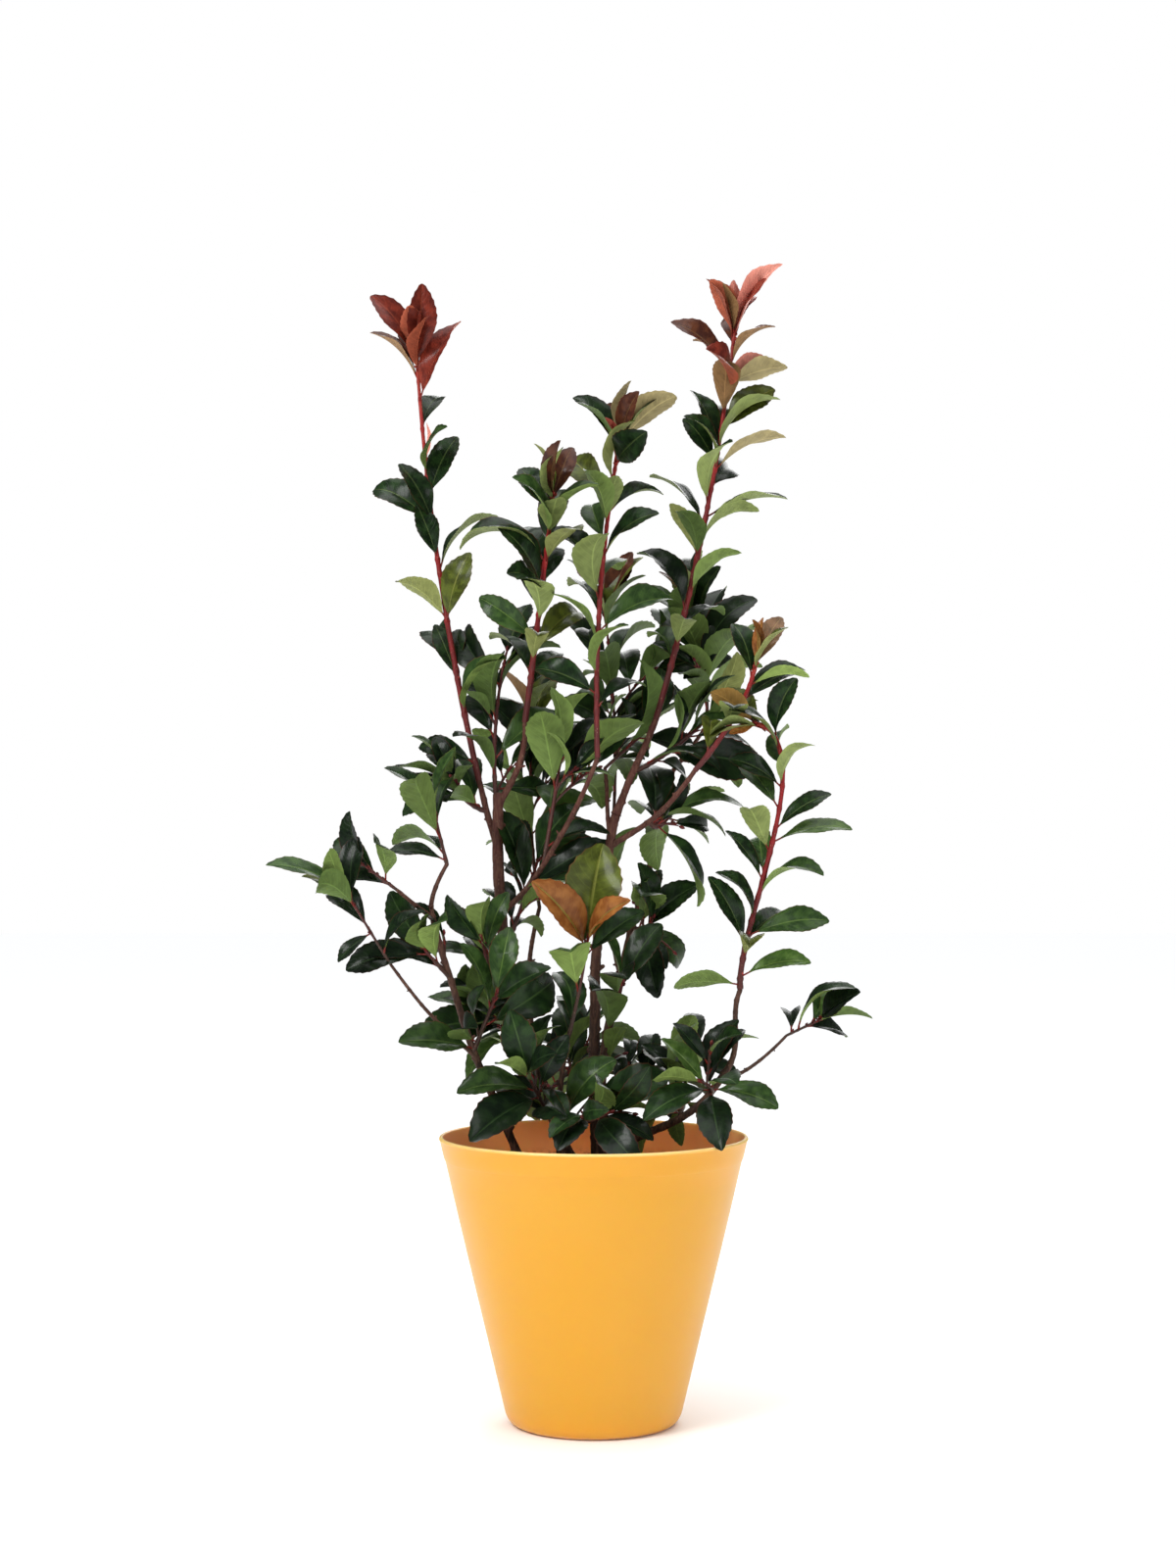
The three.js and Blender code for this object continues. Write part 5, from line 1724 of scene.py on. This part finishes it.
@dataclass(frozen=True)
class LeafShape:
    """The form that all leaves share, as shares of a leaf's length or half width.

    A leaf is a closed loft of six points round: edge, upper half, midrib, upper half, edge, keel.
    With s from 0 to 1 along the blade, its half width is w sin(pi s^widest)^fullness, each half rises
    by the fold and bulges, the edge waves and is toothed, and the whole blade twists, arches and
    sweeps aside. fold, twist and sweep are the mean and the spread of what each leaf draws.
    """

    stalk: float = 0.12
    stalk_ring: float = 0.05
    stalk_radius: float = 1.0
    rib_radius: float = 0.16
    rib_sink: Pair = (0.8, 0.25)
    blade_rows: int = 20
    row_crowding: float = 0.94
    last_row: float = 0.995
    widest: float = 1.16
    fullness: float = 0.82
    tooth: float = 0.026
    tooth_lean: float = 0.011
    tooth_end: float = 0.98
    fold: Pair = (0.46, 0.15)
    fold_ease: float = 0.35
    twist: Pair = (0.0, 0.3)
    sweep: Pair = (0.0, 0.03)
    bulge: float = 0.12
    shoulder: float = 0.87
    wave: float = 0.09
    wave_count: float = 1.7
    recurve: float = 0.045
    arch: float = 0.5
    arch_spread: Pair = (0.4, 1.3)
    slim: float = 0.88
    light: Triple = (-0.3, -0.85, 0.35)
    light_pull: float = 0.95
    roll: float = 0.42

    def rows(self) -> tuple[np.ndarray, np.ndarray, np.ndarray]:
        """Where the rings stand.

        Returns:
            u from root to tip, s along the blade, and the teeth's in and out.
        """
        s = np.linspace(0.0, 1.0, self.blade_rows + 1) ** self.row_crowding
        s[-1] = self.last_row
        u = np.concatenate([[0.0, self.stalk_ring], self.stalk + (1 - self.stalk) * s])
        teeth = np.where(np.arange(len(s)) % 2, 1 + self.tooth, 1 - self.tooth)
        return u, np.concatenate([[0.0, 0.0], s]), np.concatenate([[1.0, 1.0], teeth])

    def rings(self, leaves: Sequence[Leaf], rng: np.random.Generator) -> np.ndarray:
        """The vertices of leaves: their midribs' arcs, with a cross-section at each ring.

        Args:
            leaves: The leaves.
            rng: Draws each leaf's arch, roll, fold, twist, sweep and waves.

        Returns:
            The vertices in millimetres, by leaf, ring, point round and axis.
        """
        u, s, teeth = (row[None] for row in self.rows())
        one = (len(leaves), 1)
        reach, bend, width, free = array(
            [(leaf.reach(), leaf.bend, leaf.half_width * leaf.length, leaf.free) for leaf in leaves]
        ).T[..., None]
        chord, face, root = (
            np.stack([getattr(leaf, part) for leaf in leaves]) for part in ("chord", "face", "root")
        )
        bend = bend + self.arch * rng.uniform(*self.arch_spread, one) * free**0.5
        length = reach * (bend / 2) / np.sin(bend / 2)
        face = face + self.light_pull * free * array(self.light)
        face = unit(face - chord * np.sum(face * chord, axis=1, keepdims=True))
        roll = self.roll * free * rng.normal(0, 1, one)
        face = face * np.cos(roll) + np.cross(chord, face) * np.sin(roll)
        start = chord * np.cos(bend / 2) + face * np.sin(bend / 2)
        normal = face * np.cos(bend / 2) - chord * np.sin(bend / 2)
        side = np.cross(start, normal)[:, None]
        fold, twist, sweep = (rng.normal(*pair, one) for pair in (self.fold, self.twist, self.sweep))
        phases = rng.uniform(0, 2 * np.pi, (2, *one))
        turn = bend * u
        up = normal[:, None] * np.cos(turn)[..., None] + start[:, None] * np.sin(turn)[..., None]
        middle = (
            root[:, None]
            + start[:, None] * (length * np.sin(turn) / bend)[..., None]
            - normal[:, None] * (length * (1 - np.cos(turn)) / bend)[..., None]
            + side * (sweep * length * s**2)[..., None]
            - up * (self.recurve * length * s**4)[..., None]
        )
        angle = (twist * s)[..., None]
        wide = side * np.cos(angle) + up * np.sin(angle)
        high = up * np.cos(angle) - side * np.sin(angle)
        x, y = self.cross_section(width * self.slim, fold, phases)
        lean = (length * self.tooth_lean * (teeth > 1) * (s < self.tooth_end))[..., None]
        ahead = np.cross(high, wide)[:, :, None] * (lean * array([1, 0, 0, 0, 1, 0]))[..., None]
        across = wide[:, :, None] * x[..., None] + high[:, :, None] * y[..., None]
        return middle[:, :, None] + across + ahead

    def cross_section(
        self, width: np.ndarray, fold: np.ndarray, phases: np.ndarray
    ) -> tuple[np.ndarray, np.ndarray]:
        """The six points round each ring, across the midrib and out of the upper side.

        Args:
            width: Each leaf's greatest half width.
            fold: How steeply each leaf's halves rise.
            phases: The waves' phases at the two edges.

        Returns:
            The two coordinates, by leaf, ring and point.
        """
        _, s, teeth = (row[None] for row in self.rows())
        half = width * np.sin(np.pi * s**self.widest).clip(0) ** self.fullness
        rib = lerp(self.stalk_radius, self.rib_radius, np.sqrt(s)) * np.ones_like(width)
        sink, sunk_at = self.rib_sink
        top = rib * (1 - sink * s.clip(0, sunk_at) / sunk_at)
        rise = half * fold * (1 - self.fold_ease * s)
        left, right = (
            rise + self.wave * half * np.sin(2 * np.pi * self.wave_count * s + phase) for phase in phases
        )
        edge, inner, zero = half * teeth + rib, 0.5 * (half + rib), 0 * half
        crown = 0.5 * rise + self.bulge * half + self.shoulder * top
        x = np.stack([-edge, -inner, zero, inner, edge, zero], axis=-1)
        return x, np.stack([left, crown, top, crown, right, -rib], axis=-1)

    def add_to(self, piece: Piece, leaves: Sequence[Leaf], rng: np.random.Generator) -> None:
        """Adds the leaves to a piece, each in one of the columns of the leaves' shared map.

        Args:
            piece: The piece, whose slots are upper side and underside.
            leaves: The leaves.
            rng: Draws what differs from leaf to leaf.
        """
        points = self.rings(leaves, rng)
        count, rows, sides, _ = points.shape
        quads = loft_faces(rows, sides)[0]
        under = np.tile(np.arange(sides) >= 4, rows - 1)
        across = array([-1, -0.5, 0, 0.5, 1, 0])
        spot = np.stack([np.tile(across, rows), np.repeat(self.rows()[0], sides)], axis=-1)[quads]
        column = rng.integers(0, MAP_COLUMNS, (count, 1, 1)) + 0.5
        place = np.empty((count, len(quads), 4, 2))
        place[..., 0] = (column + MAP_HALF * spot[..., 0]) / MAP_COLUMNS
        place[..., 1] = (MAP_MARGIN + MAP_REACH * spot[..., 1]) / 2 + np.where(under, 0.0, 0.5)[:, None]
        ends = np.full((count, 2, sides, 2), 0.75)
        ends[..., 0] = column / MAP_COLUMNS
        slots = [np.tile(under.astype(int), count), np.zeros(2 * count, int)]
        piece.add_lofts(points, slots=slots, places=[place, ends])


@dataclass
class Crown:
    """All foliage: leaves by tint, and the shoots and buds that carry them.

    stout, youth and the buds' youths hold a low shoot's values and then a tall one's, stout and youth
    at its foot and its tip. Shoots are older by old_share below old_fade's heights, and their ridges
    are given as the limbs' are. No bud points along bud_reference.
    """

    wood: WoodyFrame
    shape: LeafShape = LeafShape()
    finish: ShootFinish = ShootFinish()
    shoot_sides: int = 10
    row_gap: float = 4.0
    phase_step: float = 0.9
    ridges: Triple = (0.05, 3, 0.08)
    knot: float = 0.3
    knot_half: float = 2.0
    ends: Pair = (0.8, 0.35)
    stout: tuple[Pair, Pair] = ((1.0, 1.1), (1.3, 1.6))
    youth: tuple[Pair, Pair] = ((0.05, 0.4), (0.3, 0.9))
    youth_most: float = 0.97
    old_share: float = 0.25
    old_fade: Pair = (360.0, 560.0)
    bud_length: float = 5.0
    bud_rows: tuple[float, ...] = (0.02, 0.2, 0.45, 0.75, 0.985)
    bud_sides: int = 6
    bud_girth: float = 0.27
    bud_fullness: float = 0.8
    bud_lift: float = 1.2
    bud_heading: Pair = (0.7, 0.5)
    bud_reference: Triple = (0.31, 0.17, 0.93)
    bud_youth: Pair = (0.3, 0.85)
    end_bud: float = 1.5
    end_bud_at: float = 0.985
    end_bud_youth: Pair = (0.4, 0.9)
    sprays: list[Spray] = field(default_factory=list)

    def grow(self, nodes: dict[str, bpy.types.Object]) -> None:
        """Grows every mass again.

        Args:
            nodes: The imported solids' objects, by node.
        """
        for name, mass in MASSES.items():
            vertices = nodes[name].data.vertices
            solid = np.zeros(len(vertices) * 3, np.float32)
            vertices.foreach_get("co", solid)
            self.sprays.append(Spray(name, mass, self.wood, solid.reshape(-1, 3) / MM))
        LOG.info("grown %d leaves", sum(len(spray.leaves) for spray in self.sprays))

    def build_leaves(self) -> None:
        """Makes a piece for each tint."""
        for index, tint in enumerate(Tint):
            chosen = [(spray, leaf) for spray in self.sprays for leaf in spray.leaves if leaf.tint is tint]
            name, finish = tint.name.lower(), tint.value
            sides = finish.upper(f"leaf_{name}"), finish.lower(f"leaf_{name}_under")
            piece = Piece(f"leaves_{name}", *sides)
            self.shape.add_to(piece, [leaf for _, leaf in chosen], np.random.default_rng(LEAF_SEED + index))
            piece.build("foliage", sorted({spray.name for spray, _ in chosen}), crease=60.0)

    def add_shoot(self, piece: Piece, shoot: Shoot, tall: bool, phase: float) -> None:
        """Adds a shoot: its radius falls to its tip and swells by 1 + knot exp(-(d / half)^2) at leaves.

        Args:
            piece: The piece that it joins.
            shoot: The shoot.
            tall: Whether its mass is a tall one, which is stouter and redder.
            phase: Shifts its ridges.
        """
        span = shoot.curve.span
        t = np.linspace(0.0, 1.0, int(span / self.row_gap) + 3)
        swell = np.ones(len(t))
        if shoot.knots:
            off = (t[:, None] - array(shoot.knots)) * span / self.knot_half
            swell += self.knot * np.exp(-(off**2)).sum(axis=1).clip(0, 1)
        swell[-len(self.ends):] *= self.ends
        rise, turns, ripples = self.ridges
        ridges = 1 + rise * np.cos(turns * angles(self.shoot_sides) + ripples * span * t[:, None] + phase)
        foot, tip = self.stout[tall]
        radii = lerp(shoot.foot_radius * foot, RULE.shoot_tip * tip, t) * swell
        rings = shoot.curve.tube(t, radii[:, None] * ridges)
        low, high = self.old_fade
        fade = np.clip((high - rings[..., 2].mean(axis=1)) / (high - low), 0, 1)
        youth = lerp(*self.youth[tall], t) - self.old_share * fade
        values = np.repeat(youth.clip(0, self.youth_most), self.shoot_sides)
        piece.add_lofts(rings[None], values=values)

    def bud_rings(self, roots: np.ndarray, headings: np.ndarray, sizes: np.ndarray) -> np.ndarray:
        """Buds: rings along a heading, of radius girth sin(pi v)^fullness, as shares of their length.

        Args:
            roots: Where they sit.
            headings: Where they point, as unit vectors.
            sizes: Their lengths.

        Returns:
            The vertices, by bud, ring, point and axis.
        """
        v = array(self.bud_rows)[:, None, None]
        wide = unit(np.cross(headings, array(self.bud_reference)))
        ring = circles(wide, np.cross(headings, wide), self.bud_sides)[:, None]
        offset = ring * self.bud_girth * np.sin(np.pi * v) ** self.bud_fullness
        return roots[:, None, None] + (offset + headings[:, None, None] * v) * sizes[:, None, None, None]

    def build_shoots(self) -> None:
        """Makes the shoots with a bud in each leaf's axil and one at each tip."""
        piece = Piece("shoots", self.finish.material())
        buds = []
        upwards, onwards = self.bud_heading
        for index, spray in enumerate(self.sprays):
            tall = spray.mass.tall
            for number, shoot in enumerate(spray.shoots):
                self.add_shoot(piece, shoot, tall, self.phase_step * index + number)
                root, heading = shoot.curve.point(self.end_bud_at), shoot.curve.section(1.0).along
                buds.append((root, heading, self.end_bud * self.bud_length, self.end_bud_youth[tall]))
            for leaf in spray.leaves:
                root = leaf.root + self.bud_lift * leaf.face
                heading = unit(leaf.face * upwards + leaf.chord * onwards)
                buds.append((root, heading, self.bud_length, self.bud_youth[tall]))
        roots, headings, sizes, youth = (array(part) for part in zip(*buds))
        values = np.repeat(youth, len(self.bud_rows) * self.bud_sides)
        piece.add_lofts(self.bud_rings(roots, headings, sizes), values=values)
        piece.build("bark", [spray.name for spray in self.sprays], crease=60.0)


# ---------------------------------------------------------------- studio


@dataclass(frozen=True)
class Lamp:
    """A square light: its place and side in metres, and its power in watts."""

    place: Triple
    side: float
    power: float


@dataclass
class Studio:
    """A white floor, soft lights and the camera.

    Places are in metres, the lens and the sensor in millimetres, camera_tilt in radians and
    overhead_spread in degrees. mirrored is how bright the room is in reflections.
    """

    camera_place: Triple = (-0.0058, -2.617, 0.598)
    camera_tilt: float = 0.0232
    focal_length: float = 57.88
    sensor: float = 36.0
    far: float = 60.0
    aim: Triple = (0.0, 0.0, 0.55)
    floor_half: float = 14.0
    floor_white: float = 0.96
    ambient: float = 0.30
    ambient_tone: Triple = (0.93, 0.96, 1.0)
    mirrored: float = 0.10
    overhead: float = 2.52
    overhead_spread: float = 70.0
    lamps: dict[str, Lamp] = field(
        default_factory=lambda: {
            "key": Lamp((-1.7, -2.0, 2.5), 1.2, 62.0),
            "fill": Lamp((1.7, -2.2, 1.4), 1.1, 16.0),
            "back": Lamp((0.6, 2.5, 1.9), 1.6, 28.0),
        }
    )

    @staticmethod
    def hang(name: str, data: Any) -> bpy.types.Object:
        """Puts an object in the scene.

        Args:
            name: Its name.
            data: Its camera, light or mesh.

        Returns:
            The object.
        """
        made = bpy.data.objects.new(name, data)
        bpy.context.scene.collection.objects.link(made)
        return made

    def add_camera(self) -> None:
        """Sets the camera."""
        data = bpy.data.cameras.new("camera")
        data.lens, data.sensor_width, data.clip_end = self.focal_length, self.sensor, self.far
        camera = self.hang("camera", data)
        camera.location = self.camera_place
        camera.rotation_euler = (math.pi / 2 + self.camera_tilt, 0.0, 0.0)
        bpy.context.scene.camera = camera

    def add_lights(self) -> None:
        """Hangs square lamps that face the crown's middle, and one wide soft light overhead."""
        for name, lamp in self.lamps.items():
            data = bpy.data.lights.new(name, "AREA")
            data.size, data.energy = lamp.side, lamp.power
            made = self.hang(name, data)
            made.location = lamp.place
            x, y, z = array(self.aim) - array(lamp.place)
            made.rotation_euler = (math.atan2(math.hypot(x, y), -z), 0, math.atan2(-x, y))
        above = bpy.data.lights.new("overhead", "SUN")
        above.energy, above.angle = self.overhead, math.radians(self.overhead_spread)
        self.hang("overhead", above)

    def add_room(self) -> None:
        """Surrounds the plant: white where it is seen, soft where it lights, dim in reflections."""
        world = bpy.data.worlds.new("room")
        world.use_nodes = True
        nodes, links = world.node_tree.nodes, world.node_tree.links
        path, shade = nodes.new("ShaderNodeLightPath"), nodes["Background"]
        shade.inputs["Color"].default_value = (*self.ambient_tone, 1.0)
        shade.inputs["Strength"].default_value = self.ambient
        for ray, strength in (("Is Glossy Ray", self.mirrored), ("Is Camera Ray", 1.0)):
            other, choice = nodes.new("ShaderNodeBackground"), nodes.new("ShaderNodeMixShader")
            other.inputs["Color"].default_value = (1.0, 1.0, 1.0, 1.0)
            other.inputs["Strength"].default_value = strength
            for number, output in enumerate((path.outputs[ray], shade.outputs[0], other.outputs[0])):
                links.new(output, choice.inputs[number])
            shade = choice
        links.new(shade.outputs[0], nodes["World Output"].inputs["Surface"])
        bpy.context.scene.world = world

    def add_floor(self) -> None:
        """Lays the floor."""
        half, white = self.floor_half, self.floor_white
        mesh = bpy.data.meshes.new("floor")
        corners = [(-half, -half, 0), (half, -half, 0), (half, half, 0), (-half, half, 0)]
        mesh.from_pydata(corners, [], [(0, 1, 2, 3)])
        material = Shader("floor_white", Base_Color=(white, white, white, 1.0), Roughness=0.9).material
        mesh.materials.append(material)
        self.hang("floor", mesh)

    def build(self) -> None:
        """Makes the studio."""
        self.add_camera()
        self.add_lights()
        self.add_room()
        self.add_floor()
        bpy.context.scene.view_settings.view_transform = "Standard"
        LOG.info("studio: %d lamps", len(self.lamps))


def main() -> None:
    """Builds the pieces in order."""
    logging.basicConfig(level=logging.INFO, format="%(name)s: %(message)s")
    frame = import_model()
    Studio().build()
    planter = Planter()
    planter.build()
    PottingSoil(planter).build()
    wood = WoodyFrame()
    wood.build()
    crown = Crown(wood)
    crown.grow(frame["nodes"])
    crown.build_leaves()
    crown.build_shoots()
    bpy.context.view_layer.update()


if __name__ == "__main__":
    main()
